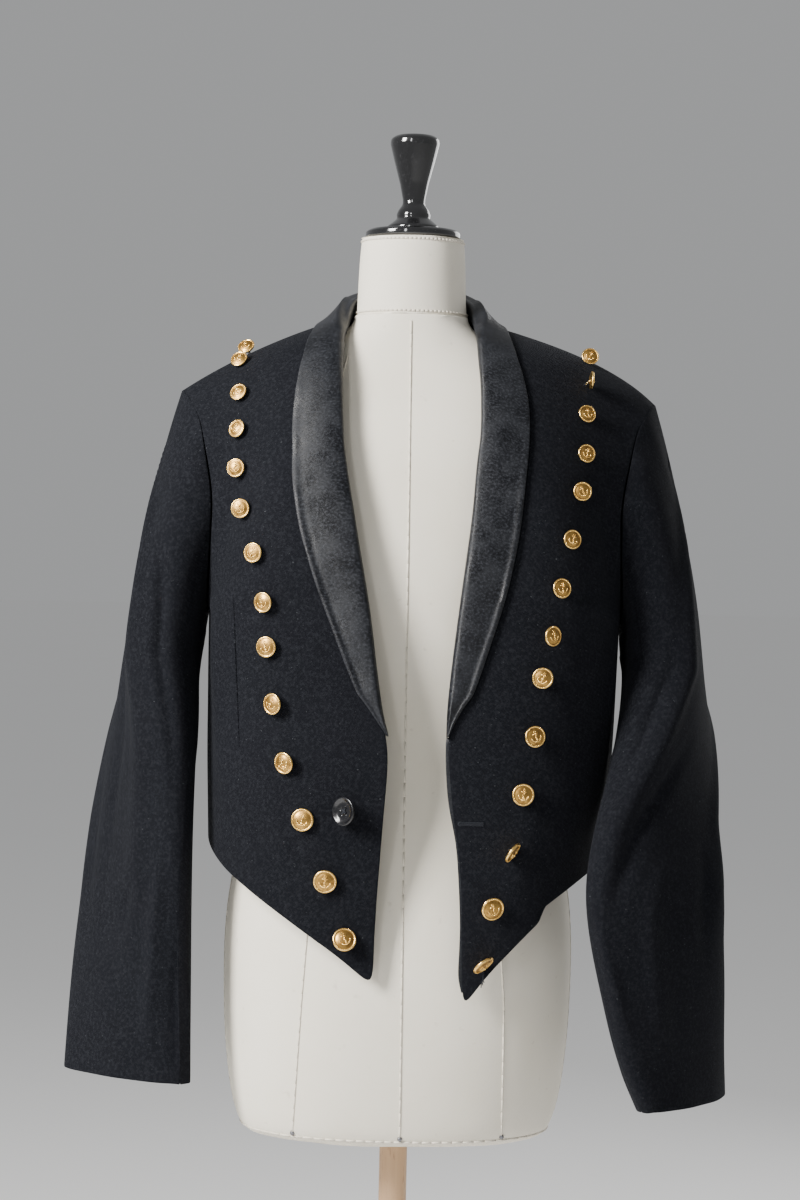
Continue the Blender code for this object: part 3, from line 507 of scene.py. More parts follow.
def beech(name, along):
    """Pale varnished beech: grain along one axis and short dark flecks."""
    s = Surface(name, 0.38, coat_weight=0.25, coat_roughness=0.25)
    room = s.place()
    grain_scale = [3.0 if axis == along else 46.0 for axis in range(3)]
    fleck_scale = [55.0 if axis == along else 420.0 for axis in range(3)]
    drawn = s.add("Mapping", {"Vector": room, "Scale": grain_scale}).outputs["Vector"]
    fleck_at = s.add("Mapping", {"Vector": room, "Scale": fleck_scale}).outputs["Vector"]
    grain = s.noise(drawn, 1.0, 6.0, 0.6)
    fleck = s.span(s.noise(fleck_at, 1.0, 2.0, 0.5), 0.60, 0.70)
    wood = s.blend(s.span(grain, 0.35, 0.65), (0.60, 0.40, 0.235), (0.44, 0.27, 0.145))
    s.colour(s.blend(s.product(fleck, 0.6), wood, (0.27, 0.150, 0.075)))
    s.rough(s.span(grain, 0.3, 0.7, 0.33, 0.48))
    s.bump(s.sum_of(grain, fleck), 0.00012, 0.4)
    return s.mat


def thread(name, colour, rough):
    """Twisted sewing thread."""
    s = Surface(name, rough, sheen_weight=0.04, specular_ior_level=0.2)
    room = s.place()
    ply = s.noise(room, 1500.0, 2.0, 0.6)
    s.colour(s.blend(ply, colour, tuple(min(1.0, part * 2.2) for part in colour)))
    s.bump(ply, 0.0001, 0.6)
    return s.mat


def metal(name, colour, rough):
    """Dull, unevenly worn metal."""
    s = Surface(name, rough, 1.0)
    wear = s.noise(s.place(), 500.0, 4.0, 0.6)
    s.colour(s.blend(wear, colour, tuple(part * 0.5 for part in colour)))
    s.rough(s.span(wear, 0.3, 0.7, rough, rough + 0.2))
    return s.mat


def paint():
    """Matt pale floor paint, almost without tone."""
    s = Surface("floor_paint", 0.95, specular_ior_level=0.0)
    tone = s.noise(s.place(), 0.8, 4.0, 0.5)
    s.colour(s.blend(tone, (0.975, 0.972, 0.968), (0.990, 0.988, 0.985)))
    return s.mat


WOOL = wool()
SATIN = satin()
CANVAS = canvas()
GOLD = gilt("gilt_bright", (0.98, 0.66, 0.22), (0.72, 0.43, 0.12), 0.17)
# painted shade: a much darker gilt for the buttons' sunk ground, standing in for shade in the recess
GILT_SHADED_GROUND = gilt("gilt_ground", (0.46, 0.27, 0.075), (0.20, 0.105, 0.030), 0.30)
WIRE = gilt("brass_wire", (0.72, 0.52, 0.24), (0.45, 0.30, 0.12), 0.30)
LACQUER = lacquer("black_lacquer", (0.0045, 0.0045, 0.0050), 0.08, 1.0)
HORN = lacquer("black_button_resin", (0.0050, 0.0052, 0.0065), 0.16, 0.12)
WOOD = beech("beech_upright", 2)
WOOD_FLAT = beech("beech_flat", 0)
THREAD = thread("black_thread", (0.006, 0.007, 0.010), 0.65)
FORM_THREAD = thread("cream_thread", (0.42, 0.39, 0.33), 0.8)
STEEL = metal("nail_steel", (0.30, 0.30, 0.32), 0.32)
FLOOR = paint()


def side_of(name):
    """Which half a piece belongs to: -1 for the wearer's right, 1 for the left."""
    return -1.0 if "right" in name else 1.0


def arc_length(angle, long, thick, steps=24):
    """Length along a flattened ring from its zero to each angle, in radians."""
    share = (np.arange(steps) + 0.5) / steps
    at = angle[:, None] * share[None, :]
    speed = np.sqrt((thick[:, None] * np.sin(at)) ** 2 + (long[:, None] * np.cos(at)) ** 2)
    return speed.mean(axis=1) * angle


def degree_length(angle, long, thick):
    """Length of one degree round a flattened ring, on average up to each angle."""
    wide = np.maximum(np.abs(angle), LEAST_ANGLE)
    return arc_length(wide, long, thick) / np.degrees(wide)


def of_length_one(rows):
    """Rows of three numbers, each brought to length 1."""
    return rows / np.maximum(np.linalg.norm(rows, axis=1), 1e-9)[:, None]


def round_sleeve(name, co):
    """For places on a sleeve: angle round it, length round it, way out, length of a degree."""
    side = side_of(name)
    rows = np.array(ARM["right" if side < 0 else "left"])[::-1]
    z = np.clip(co[:, 2], rows[0, 0], rows[-1, 0])
    x, y, long, thick, turn = (np.interp(z, rows[:, 0], rows[:, k]) for k in range(1, 6))
    dx = (co[:, 0] - x) * side
    dy = co[:, 1] - y
    t = np.radians(turn)
    thin_way = dx * np.sin(t) - dy * np.cos(t)
    long_way = -dx * np.cos(t) - dy * np.sin(t)
    angle = np.arctan2(long_way / long, thin_way / thick)
    if "under" in name:
        angle = np.where(angle < 0.0, angle + 2.0 * math.pi, angle)
    grow_thin = thin_way / thick ** 2
    grow_long = long_way / long ** 2
    out_x = (grow_thin * np.sin(t) - grow_long * np.cos(t)) * side
    out_y = -grow_thin * np.cos(t) - grow_long * np.sin(t)
    out = of_length_one(np.stack([out_x, out_y, np.zeros(len(co))], axis=1))
    return angle, arc_length(angle, long, thick), out, degree_length(angle, long, thick)


def round_body(name, co):
    """The same four for places on any other piece of cloth or the form."""
    side = side_of(name)
    dx = (co[:, 0] - CHEST_MIDDLE) * side
    dy = -co[:, 1]
    angle = np.arctan2(dx / CHEST_HALF_WIDTH, dy / CHEST_HALF_DEPTH)
    width = np.full(len(co), CHEST_HALF_WIDTH)
    depth = np.full(len(co), CHEST_HALF_DEPTH)
    out = of_length_one(np.stack([dx * side / CHEST_HALF_WIDTH ** 2,
                                  -dy / CHEST_HALF_DEPTH ** 2, np.zeros(len(co))], axis=1))
    lean = held((co[:, 2] - LEAN_FROM) / LEAN_OVER)[:, None] * LEAN_SHARE
    out = of_length_one(out * (1.0 - lean) + np.array([0.0, 0.0, 1.0]) * lean)
    return angle, arc_length(angle, width, depth), out, degree_length(angle, width, depth)


def around(piece, co):
    """For a piece's points: angle round it, length round it, way out, length of a degree."""
    measure = round_sleeve if piece.name.startswith("sleeve") else round_body
    return measure(piece.name, co)


def places(mesh):
    """A mesh's points as one array."""
    co = np.empty(len(mesh.vertices) * 3)
    mesh.vertices.foreach_get("co", co)
    return co.reshape(-1, 3)


def move_to(mesh, co):
    """Put a mesh's points where an array says."""
    mesh.vertices.foreach_set("co", np.ascontiguousarray(co).ravel())
    mesh.update()


def weave_map(piece):
    """Coordinates along and across the cloth, in metres, for the weave."""
    mesh = piece.data
    co = places(mesh)
    across = around(piece, co)[1]
    along = co[:, 2] + 0.5 * (CHEST_HALF_DEPTH - np.abs(co[:, 1]))
    corner = np.empty(len(mesh.loops), dtype=np.int32)
    mesh.loops.foreach_get("vertex_index", corner)
    layer = mesh.uv_layers.new(name="weave")
    layer.data.foreach_set("uv", np.stack([across[corner], along[corner]], axis=1).ravel())


def press_folds(piece, rows):
    """Press soft ridges and troughs into a cloth piece along listed paths."""
    co = places(piece.data)
    angle, _, out, degree = around(piece, co)
    degrees = np.degrees(angle)
    shift = np.zeros(len(co))
    for fold in rows:
        z, place, width, height = (np.array(fold)[::-1] * FOLD_UNITS).T
        at = np.interp(co[:, 2], z, place)
        half = np.interp(co[:, 2], z, width)
        share = (co[:, 2] - z[0]) / (z[-1] - z[0])
        inside = (share > 0.0) & (share < 1.0)
        depth = np.interp(co[:, 2], z, height) * inside
        shift += FOLD_STRENGTH * depth * np.exp(-((degrees - at) * degree / half) ** 2)
    move_to(piece.data, co + out * shift[:, None])


def wave_edge(piece, edge_z, reach, size, shift):
    """Let a free lower edge wave a little, in and out, unevenly."""
    co = places(piece.data)
    across, out = around(piece, co)[1:3]
    near = held(1.0 - (co[:, 2] - edge_z) / reach) ** 2
    wave = sum(np.sin(across * pace + shift * part) * share for pace, part, share in EDGE_WAVES)
    move_to(piece.data, co + out * (near * wave * size)[:, None])


def tree_of(*pieces):
    """Search tree over the faces of pieces."""
    points, faces = [], []
    for piece in pieces:
        start = len(points)
        points.extend(v.co.copy() for v in piece.data.vertices)
        faces.extend(tuple(start + k for k in p.vertices) for p in piece.data.polygons)
    return BVHTree.FromPolygons(points, faces)


def evened(mesh, values, rounds):
    """Values at a mesh's points, averaged with their neighbours a few times."""
    pairs = np.empty(len(mesh.edges) * 2, dtype=np.int32)
    mesh.edges.foreach_get("vertices", pairs)
    one, two = pairs[0::2], pairs[1::2]
    count = np.bincount(pairs, minlength=len(values)) + 1.0
    for _ in range(rounds):
        total = values.copy()
        np.add.at(total, one, values[two])
        np.add.at(total, two, values[one])
        values = total / count
    return values


def set_in(sleeve, body_tree):
    """Sink a sleeve's head a little below the armhole edge of the body."""
    co = places(sleeve.data)
    out = round_sleeve(sleeve.name, co)[2]
    sink = np.zeros(len(co))
    for index in np.nonzero(co[:, 2] > SETIN_FROM)[0]:
        distance = body_tree.find_nearest(Vector(co[index]), SETIN_REACH)[3]
        if distance is not None:
            sink[index] = SETIN_DEPTH * (1.0 - distance / SETIN_REACH) ** 1.5
    sink *= 1.0 - smoothstep((co[:, 2] - SETIN_END) / SETIN_FADE)
    move_to(sleeve.data, co - out * evened(sleeve.data, sink, SETIN_ROUNDS)[:, None])


def edge_line(co, out, pick):
    """Heights of a collar with the most or least outward place that it has at each."""
    rows = []
    for z in np.arange(co[:, 2].min(), co[:, 2].max(), LINE_STEP):
        near = out[np.abs(co[:, 2] - z) < LINE_STEP]
        if len(near):
            rows.append((z, pick(near)))
    return np.array(rows).T


def shape_collar(piece):
    """Roll the collar's style line, rumple its face and run its lower end out to a point."""
    side = side_of(piece.name)
    co = places(piece.data)
    height = co[:, 2]
    out = (co[:, 0] - CHEST_MIDDLE) * side
    style_line = np.interp(height, *edge_line(co, out, np.max))
    inner_line = np.interp(height, *edge_line(co, out, np.min))
    gap = style_line - out
    front = smoothstep((COLLAR_TURN - height) / COLLAR_TURN_FADE)
    front *= held((COLLAR_FRONT - co[:, 1]) / COLLAR_FRONT_FADE)
    low = held((COLLAR_LOW - height) / COLLAR_LOW_FADE)
    raised = np.zeros(len(co))
    for place, width, above, below in (EDGE_RIDGE, EDGE_GROOVE):
        raised += EDGE_ROLL * (above + below * low) * np.exp(-((gap - place) / width) ** 2)
    for z, place, width, rise in COLLAR_FOLDS:
        slant = height - z - COLLAR_FOLD_SLANT * (gap - place)
        raised += rise * np.exp(-(slant / width) ** 2 - ((gap - place) / COLLAR_FOLD_WIDE) ** 2)
    near = held((height - height.min()) / COLLAR_TAPER)
    share = COLLAR_POINT + (1.0 - COLLAR_POINT) * near ** 0.75
    narrow = inner_line + (out - inner_line) * share
    co[:, 0] += (CHEST_MIDDLE + side * narrow - co[:, 0]) * front
    co[:, 1] += ((1.0 - near) * COLLAR_POINT_BACK - raised) * front
    move_to(piece.data, co)


def even_back_hem(piece):
    """Bring both halves of the back to one hem height at their seam."""
    co = places(piece.data)
    beside = smoothstep(1.0 - np.abs(co[:, 0] - BACK_SEAM_X) / BACK_HEM_BESIDE)
    low = smoothstep((BACK_HEM_TOP - co[:, 2]) / BACK_HEM_FADE)
    co[:, 2] += side_of(piece.name) * BACK_HEM_STEP / 2.0 * beside * low
    move_to(piece.data, co)


def draw_up(piece, reach, rise):
    """Shorten a strip's lower end a little."""
    co = places(piece.data)
    co[:, 2] += held(1.0 - (co[:, 2] - co[:, 2].min()) / reach) * rise
    move_to(piece.data, co)


def lift_hem(piece):
    """Let the left front's hem run a little higher outside a short step."""
    co = places(piece.data)
    x = co[:, 0]
    rise = held((x - STEP_X + STEP_HALF) / (2.0 * STEP_HALF)) * held(1.0 - (x - STEP_X) / STEP_RUN)
    hem = HEM_SIDE_Z - (HEM_SIDE_X + CHEST_MIDDLE - x) * HEM_FALL
    co[:, 2] += rise * held(1.0 - (co[:, 2] - hem) / STEP_REACH) * STEP_RISE
    move_to(piece.data, co)


def new_piece(name, bm, *mats):
    """Turn a bmesh into a smooth-shaded piece."""
    mesh = bpy.data.meshes.new(name)
    bm.to_mesh(mesh)
    bm.free()
    for face in mesh.polygons:
        face.use_smooth = True
    piece = bpy.data.objects.new(name, mesh)
    bpy.context.scene.collection.objects.link(piece)
    for mat in mats:
        piece.data.materials.append(mat)
    return piece


def merged_copy(node):
    """The node's solid as one closed mesh, its pairs of triangles joined to four-sided faces."""
    bm = bmesh.new()
    bm.from_mesh(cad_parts[node].data)
    bmesh.ops.remove_doubles(bm, verts=bm.verts[:], dist=MERGE_WITHIN)
    bmesh.ops.join_triangles(bm, faces=bm.faces[:], angle_face_threshold=math.radians(50),
                             angle_shape_threshold=math.radians(70))
    return bm


def crease_rims(bm, angle, value):
    """Keep the cut edges of a wall crisp when it is smoothed."""
    layer = bm.edges.layers.float.new("crease_edge")
    for edge in bm.edges:
        if len(edge.link_faces) == 2 and edge.calc_face_angle(0.0) > math.radians(angle):
            edge[layer] = value


def baked(piece):
    """The piece's mesh as its modifiers leave it."""
    bpy.context.view_layer.update()
    graph = bpy.context.evaluated_depsgraph_get()
    mesh = bpy.data.meshes.new_from_object(piece.evaluated_get(graph))
    piece.modifiers.clear()
    return mesh


def smoothed(piece, level):
    """The piece's mesh, smoothed and finer."""
    soft = piece.modifiers.new("soften", "SUBSURF")
    soft.levels = level
    soft.render_levels = level
    return baked(piece)


def settle(piece, level):
    """Smooth a piece so that the smooth surface still runs through the solid's own corners."""
    aim_at = places(piece.data)
    share = np.full((len(aim_at), 1), SETTLE_SHARE)
    if piece.name.startswith("front"):
        low = aim_at[np.argmin(aim_at[:, 2])]
        share[np.linalg.norm(aim_at - low, axis=1) < TIP_REACH] *= TIP_HOLD
    for _ in range(SETTLE_ROUNDS):
        fine = smoothed(piece, 2)
        miss = aim_at - places(fine)[:len(aim_at)]
        move_to(piece.data, places(piece.data) + miss * share)
        bpy.data.meshes.remove(fine)
    fine = smoothed(piece, level)
    rough = piece.data
    piece.data = fine
    bpy.data.meshes.remove(rough)
    fine.name = piece.name
    for face in fine.polygons:
        face.use_smooth = True


def free_tip(bm):
    """Let the lowest corner of a pointed front round itself off."""
    low = min(bm.verts, key=lambda v: v.co.z).co.copy()
    layer = bm.edges.layers.float["crease_edge"]
    for edge in bm.edges:
        if all((v.co - low).length < TIP_REACH for v in edge.verts):
            edge[layer] = TIP_CREASE


def in_place_of(node, piece):
    """Put a piece in a solid's place: attach it to the root and hide the solid."""
    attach(piece, "root")
    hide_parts(node)


def soft_copy(node, mat, level, angle, crease):
    """A finer, smoothed piece in place of a solid."""
    bm = merged_copy(node)
    crease_rims(bm, angle, crease)
    if node.startswith("front"):
        free_tip(bm)
    piece = new_piece(node + "_made", bm, mat)
    settle(piece, level)
    in_place_of(node, piece)
    return piece


def paint_new(made, mat):
    """Give the faces of a newly made form one of the piece's materials."""
    for face in {face for vert in made["verts"] for face in vert.link_faces}:
        face.material_index = mat


def bar(bm, start, end, radius, tip=None, sides=7, mat=0):
    """A straight round bar between two points, or a cone where its tip has its own radius."""
    start, end = Vector(start), Vector(end)
    way = end - start
    turn = way.to_track_quat("Z", "Y").to_matrix().to_4x4()
    place = Matrix.Translation((start + end) / 2.0) @ turn
    paint_new(bmesh.ops.create_cone(bm, cap_ends=True, segments=sides, radius1=radius,
                                    radius2=radius if tip is None else tip,
                                    depth=way.length, matrix=place), mat)


def bead(bm, at, radius, mat=0):
    """A small ball."""
    paint_new(bmesh.ops.create_icosphere(bm, subdivisions=1, radius=radius,
                                         matrix=Matrix.Translation(Vector(at))), mat)


def bars(bm, points, radius, mat=0, sides=7):
    """Short bars along a path."""
    for start, end in zip(points, points[1:]):
        bar(bm, start, end, radius, sides=sides, mat=mat)


def line_of_bars(bm, points, radius, mat=0, sides=7):
    """Short bars along a path, with balls at its bends."""
    bars(bm, points, radius, mat, sides)
    for point in points[1:-1]:
        bead(bm, point, radius, mat)


def turned(profile, steps):
    """A solid turned about Z from rows of radius and height."""
    bm = bmesh.new()
    line = [bm.verts.new((radius, 0.0, height)) for radius, height in profile]
    edges = [bm.edges.new(pair) for pair in zip(line, line[1:])]
    bmesh.ops.spin(bm, geom=line + edges, cent=(0.0, 0.0, 0.0), axis=(0.0, 0.0, 1.0),
                   angle=2.0 * math.pi, steps=steps, use_merge=True)
    bmesh.ops.remove_doubles(bm, verts=bm.verts[:], dist=MERGE_WITHIN / 2.0)
    bmesh.ops.recalc_face_normals(bm, faces=bm.faces[:])
    return bm


def rounded(rows, reach):
    """A profile with its inner corners rounded over a reach on either side."""
    points = [Vector(row) for row in rows]
    soft = [points[0]]
    for before, corner, after in zip(points, points[1:], points[2:]):
        start = corner + (before - corner) * min(0.5, reach / (before - corner).length)
        end = corner + (after - corner) * min(0.5, reach / (after - corner).length)
        for k in range(CORNER_STEPS + 1):
            t = k / CORNER_STEPS
            soft.append(start * (1.0 - t) ** 2 + corner * 2.0 * t * (1.0 - t) + end * t ** 2)
    return [tuple(point) for point in soft + [points[-1]]]


def turned_copy(node, mat):
    """A finely turned part of the stand in place of its solid."""
    rows, reach = STAND[node]
    piece = new_piece(node + "_made", turned(rounded(rows, reach), TURN_STEPS), mat)
    in_place_of(node, piece)


def dome(share):
    """Height of the gilt button's face at a share of its radius, in radii."""
    return float(np.interp(share, *zip(*FACE_ROWS))) * BUTTON_HEIGHT


def on_dome(x, y, lift=0.0):
    """Point on the button's face."""
    return Vector((x, y, dome(math.hypot(x, y)) + lift))


def button_stamp():
    """One gilt button of radius 1, its back on the XY plane: rim, roped edge and anchor."""
    bm = turned([(r, h * BUTTON_HEIGHT) for r, h in BUTTON_PROFILE], 40)
    for face in bm.faces:
        middle = face.calc_center_median()
        # the sunk ground takes the darker gilt painted as shade
        face.material_index = 1 if middle.xy.length < GROUND_RADIUS and middle.z > GROUND_ABOVE else 0
    for k in range(ROPE_BEADS):
        a = 2.0 * math.pi * k / ROPE_BEADS
        bead(bm, (ROPE_RADIUS * math.cos(a), ROPE_RADIUS * math.sin(a), ROPE_HEIGHT), ROPE_SIZE)
    line_of_bars(bm, [on_dome(0.0, y) for y in (0.36, 0.1, -0.2, -0.47)], 0.058)
    line_of_bars(bm, [on_dome(-0.27, 0.27), on_dome(0.0, 0.27, 0.02), on_dome(0.27, 0.27)], 0.044)
    ring = [on_dome(0.10 * math.cos(a), 0.46 + 0.10 * math.sin(a), 0.02)
            for a in (2.0 * math.pi * k / 8 for k in range(9))]
    line_of_bars(bm, ring, 0.030, sides=5)
    arms = [on_dome(0.44 * math.cos(a), -0.06 + 0.42 * math.sin(a), 0.01)
            for a in (math.radians(200.0 + 140.0 * k / 8) for k in range(9))]
    line_of_bars(bm, arms, 0.055)
    for end, tip_x in ((arms[0], -0.50), (arms[-1], 0.50)):
        bar(bm, end, on_dome(tip_x, 0.03), 0.115, 0.01, sides=6)
    rope = [on_dome(0.12 * math.sin(k * 1.05), 0.34 - 0.085 * k, 0.055) for k in range(9)]
    line_of_bars(bm, rope, 0.026, sides=5)
    return bm


def head_of(node, count):
    """From a button's solid: middle of its face, middle and radius of the ring round it, and all
    its points, the farthest from the face first."""
    bm = bmesh.new()
    bm.from_mesh(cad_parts[node].data)
    bmesh.ops.remove_doubles(bm, verts=bm.verts[:], dist=MERGE_WITHIN)
    fans = [v for v in bm.verts if len(v.link_edges) == count]
    top = max(fans, key=lambda v: sum(e.calc_length() for e in v.link_edges))
    ring = [e.other_vert(top).co.copy() for e in top.link_edges]
    middle = sum(ring, Vector()) / len(ring)
    face = top.co.copy()
    radius = sum((p - middle).length for p in ring) / len(ring)
    away = sorted((v.co.copy() for v in bm.verts), key=lambda p: -(p - face).length)
    bm.free()
    return face, middle, radius, away


def facing(axis):
    """Turn that brings Z to a way out and keeps Y as upright as it can."""
    up = (Vector((0.0, 0.0, 1.0)) - axis * axis.z).normalized()
    return Matrix((up.cross(axis), up, axis)).transposed()


def spoke(angle, radius):
    """A way across a thread's bundle, at an angle in radians."""
    return Vector((math.cos(angle), 0.0, math.sin(angle))) * radius


def gold_button(node, number, stamp):
    """A gilt button in its solid's place, on a wire shank sewn down with thread."""
    face, middle, near, away = head_of(node, GOLD_SIDES)
    axis = (face - middle).normalized()
    radius = near / GOLD_RING
    neck = face - axis * HEAD_ABOVE_NECK
    back = face - axis * (HEAD_ABOVE_NECK - BACK_ABOVE_NECK)
    foot_ring = sorted(away, key=lambda p: (p - neck).dot(axis))[:GOLD_SIDES]
    foot = min((sum(foot_ring, Vector()) / GOLD_SIDES, away[0]), key=lambda p: (p - neck).length)
    basis = facing(axis)
    spin = Matrix.Rotation(math.radians(24.0 * math.sin(number * 2.4)), 3, "Z")
    place = Matrix.Translation(back) @ (basis @ spin).to_4x4() @ Matrix.Scale(radius, 4)
    bm = stamp.copy()
    bmesh.ops.transform(bm, matrix=place, verts=bm.verts[:])
    across = basis @ Vector((1.0, 0.0, 0.0))
    inward = (foot - back).normalized()
    reach = (foot - back).length
    for sign in (-1.0, 1.0):
        leg = [back + across * out * sign + inward * reach * share for out, share in SHANK]
        leg[0] += axis * 0.0003
        line_of_bars(bm, leg, SHANK_WIRE, mat=2)
    for k in range(4):
        loose = spoke(k * 1.7, 0.0009)
        start = back + inward * reach * 0.70 + loose
        bar(bm, start, foot + inward * 0.0010 + loose * 1.4, 0.00035, mat=3)
    piece = new_piece(node + "_made", bm, GOLD, GILT_SHADED_GROUND, WIRE, THREAD)
    in_place_of(node, piece)


def drilled(bm, holes):
    """The black button's plate as a mesh with its holes drilled."""
    plate = new_piece("plate_blank", bm, HORN, THREAD)
    drill = bmesh.new()
    for hole in holes:
        bar(drill, hole + Vector((0, 0, -0.01)), hole + Vector((0, 0, 0.01)), HOLE_RADIUS, sides=16)
    cutter = new_piece("hole_cutter", drill, HORN)
    cut = plate.modifiers.new("holes", "BOOLEAN")
    cut.object = cutter
    cut.operation = "DIFFERENCE"
    pierced = baked(plate)
    for spent in (cutter, plate):
        bpy.data.objects.remove(spent, do_unlink=True)
    return pierced


def dark_button():
    """The large black four-hole button, sewn on with crossed thread."""
    face, middle, near, away = head_of("button_black", BLACK_SIDES)
    axis = (middle - face).normalized()
    radius = near / BLACK_RING
    back = face - axis * BLACK_THICK
    holes = [Vector((x * HOLE_AT, y * HOLE_AT, 0.0)) for x in (-1, 1) for y in (-1, 1)]
    pierced = drilled(turned([(r * radius, h * radius) for r, h in BLACK_PROFILE], 56), holes)
    bm = bmesh.new()
    bm.from_mesh(pierced)
    bpy.data.meshes.remove(pierced)
    level = Vector((0.0, 0.0, BLACK_DISH * radius + 0.0003))
    for start, end in ((0, 3), (1, 2)):
        for slip in (-0.0004, 0.0, 0.0004):
            side = Vector((slip, -slip if start == 0 else slip, 0.0)) + level
            bar(bm, holes[start] + side, holes[end] + side, 0.0003, mat=1)
    for hole in holes:
        bar(bm, hole + level, hole * 0.5 + Vector((0, 0, -0.0015)), 0.0006, mat=1)
    turn = facing(axis) @ Matrix.Rotation(0.3, 3, "Z")
    bmesh.ops.transform(bm, matrix=Matrix.Translation(back) @ turn.to_4x4(), verts=bm.verts[:])
    foot = min(away, key=lambda p: (p - back).dot(axis))
    for k in range(6):
        loose = spoke(k * 1.05, 0.0012)
        bar(bm, back + loose + axis * 0.0004, foot + loose * 1.3, 0.00045, mat=1)
    piece = new_piece("button_black_made", bm, HORN, THREAD)
    in_place_of("button_black", piece)


def on_front(tree, x, z, lift):
    """Point on a piece seen from the front, lifted along its own outward direction."""
    hit, normal = tree.ray_cast(Vector((x, -1.0, z)), Vector((0.0, 1.0, 0.0)))[:2]
    if normal.y > 0.0:
        normal = -normal
    return hit + normal * lift


def sewn(name, bm, mat):
    """A finished bit of sewing."""
    piece = new_piece(name, bm, mat)
    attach(piece, "root")


def dart(tree):
    """The right front's waist dart: a thin lapped fold that runs out at both ends."""
    bm = bmesh.new()
    points = []
    for k in range(DART_STEPS + 1):
        at = Vector(DART_TOP).lerp(Vector(DART_LOW), k / DART_STEPS)
        points.append(on_front(tree, at.x, at.y, 0.0001))
    for k, (start, end) in enumerate(zip(points, points[1:])):
        swell = math.sin(math.pi * (k + 0.5) / DART_STEPS) ** 0.5
        bar(bm, start, end, DART_RADIUS * swell, sides=8)
    sewn("dart_front_right", bm, WOOL)


def buttonhole(tree):
    """The left front's hand-worked buttonhole, a slit with close stitches round it."""
    bm = bmesh.new()
    middle_x, middle_z = HOLE_MIDDLE
    for side in (-1.0, 1.0):
        for k in range(HOLE_STITCHES):
            x = middle_x + HOLE_HALF * (2.0 * k / (HOLE_STITCHES - 1) - 1.0)
            start = on_front(tree, x, middle_z + side * 0.0002, 0.0002)
            end = on_front(tree, x, middle_z + side * 0.0019, 0.0001)
            bar(bm, start, end, STITCH_RADIUS, sides=6)
            bead(bm, start, KNOT_RADIUS)
    for k in range(END_STITCHES):
        a = math.pi * (0.5 + k / (END_STITCHES - 1))
        x = middle_x - HOLE_HALF + 0.0006 * math.cos(a)
        z = middle_z + 0.0006 * math.sin(a)
        start = on_front(tree, x, z, 0.0002)
        end = on_front(tree, x + 0.0018 * math.cos(a), z + 0.0018 * math.sin(a), 0.0001)
        bar(bm, start, end, STITCH_RADIUS, sides=6)
    sewn("buttonhole_front_left", bm, THREAD)


def loose_thread(tree):
    """A short thread end hanging under the lowest left button."""
    bm = bmesh.new()
    start = on_front(tree, 0.0785, 0.8345, 0.0012)
    for strand in range(3):
        points = [start + Vector((0.0010 * math.sin(k * 0.7 + strand) + 0.00025 * strand * k,
                                  -0.0006 * k / 8, -0.0023 * k)) for k in range(8 - strand)]
        line_of_bars(bm, points, 0.00045, sides=5)
    sewn("loose_thread", bm, THREAD)


def upright_seam(bm, tree, top, x_at, way):
    """A seam down the form, laid on it from one side; its points from top to bottom."""
    points = []
    for k in range(SEAM_STEPS + 1):
        z = top + (FORM_EDGE - top) * k / SEAM_STEPS
        points.append(tree.ray_cast(x_at(z) + way, -way)[0] + way * SEAM_OUT)
    bars(bm, points, SEAM_RADIUS, sides=8)
    return points


def form_seams(torso, neck):
    """The form's lapped seams, the rings round its neck and its edge, and the nails there."""
    torso_tree, neck_tree = tree_of(torso), tree_of(neck)
    seams = bmesh.new()
    nails = bmesh.new()
    for row in FORM_SEAMS:
        z_rows, x_rows = zip(*row[::-1])
        for sign in (-1.0, 1.0):
            out = Vector((0.0, sign, 0.0))
            points = upright_seam(seams, torso_tree, row[0][0],
                                  lambda z: Vector((float(np.interp(z, z_rows, x_rows)), 0.0, z)), out)
            low = points[-1]
            bar(nails, low - out * 0.001, low + out * 0.0008, NAIL_RADIUS, sides=14)
            bar(nails, low + out * 0.0008, low + out * 0.0016, NAIL_RADIUS, NAIL_RADIUS / 2.0, sides=14)
    for sign in (-1.0, 1.0):
        upright_seam(seams, torso_tree, SIDE_SEAM_TOP, lambda z: Vector((0.0, 0.0, z)),
                     Vector((sign, 0.0, 0.0)))
    for height, tree in ((1.4500, neck_tree), (1.5190, neck_tree), (0.6665, torso_tree)):
        ring = []
        for k in range(RING_STEPS + 1):
            a = 2.0 * math.pi * k / RING_STEPS
            way = Vector((math.cos(a), math.sin(a), 0.0))
            hit = tree.ray_cast(Vector((0.0, 0.0, height)) + way * 0.4, -way)[0]
            ring.append(hit + way * RING_OUT)
        bars(seams, ring, RING_RADIUS, sides=8)
    sewn("form_seams", seams, FORM_THREAD)
    sewn("form_nails", nails, STEEL)


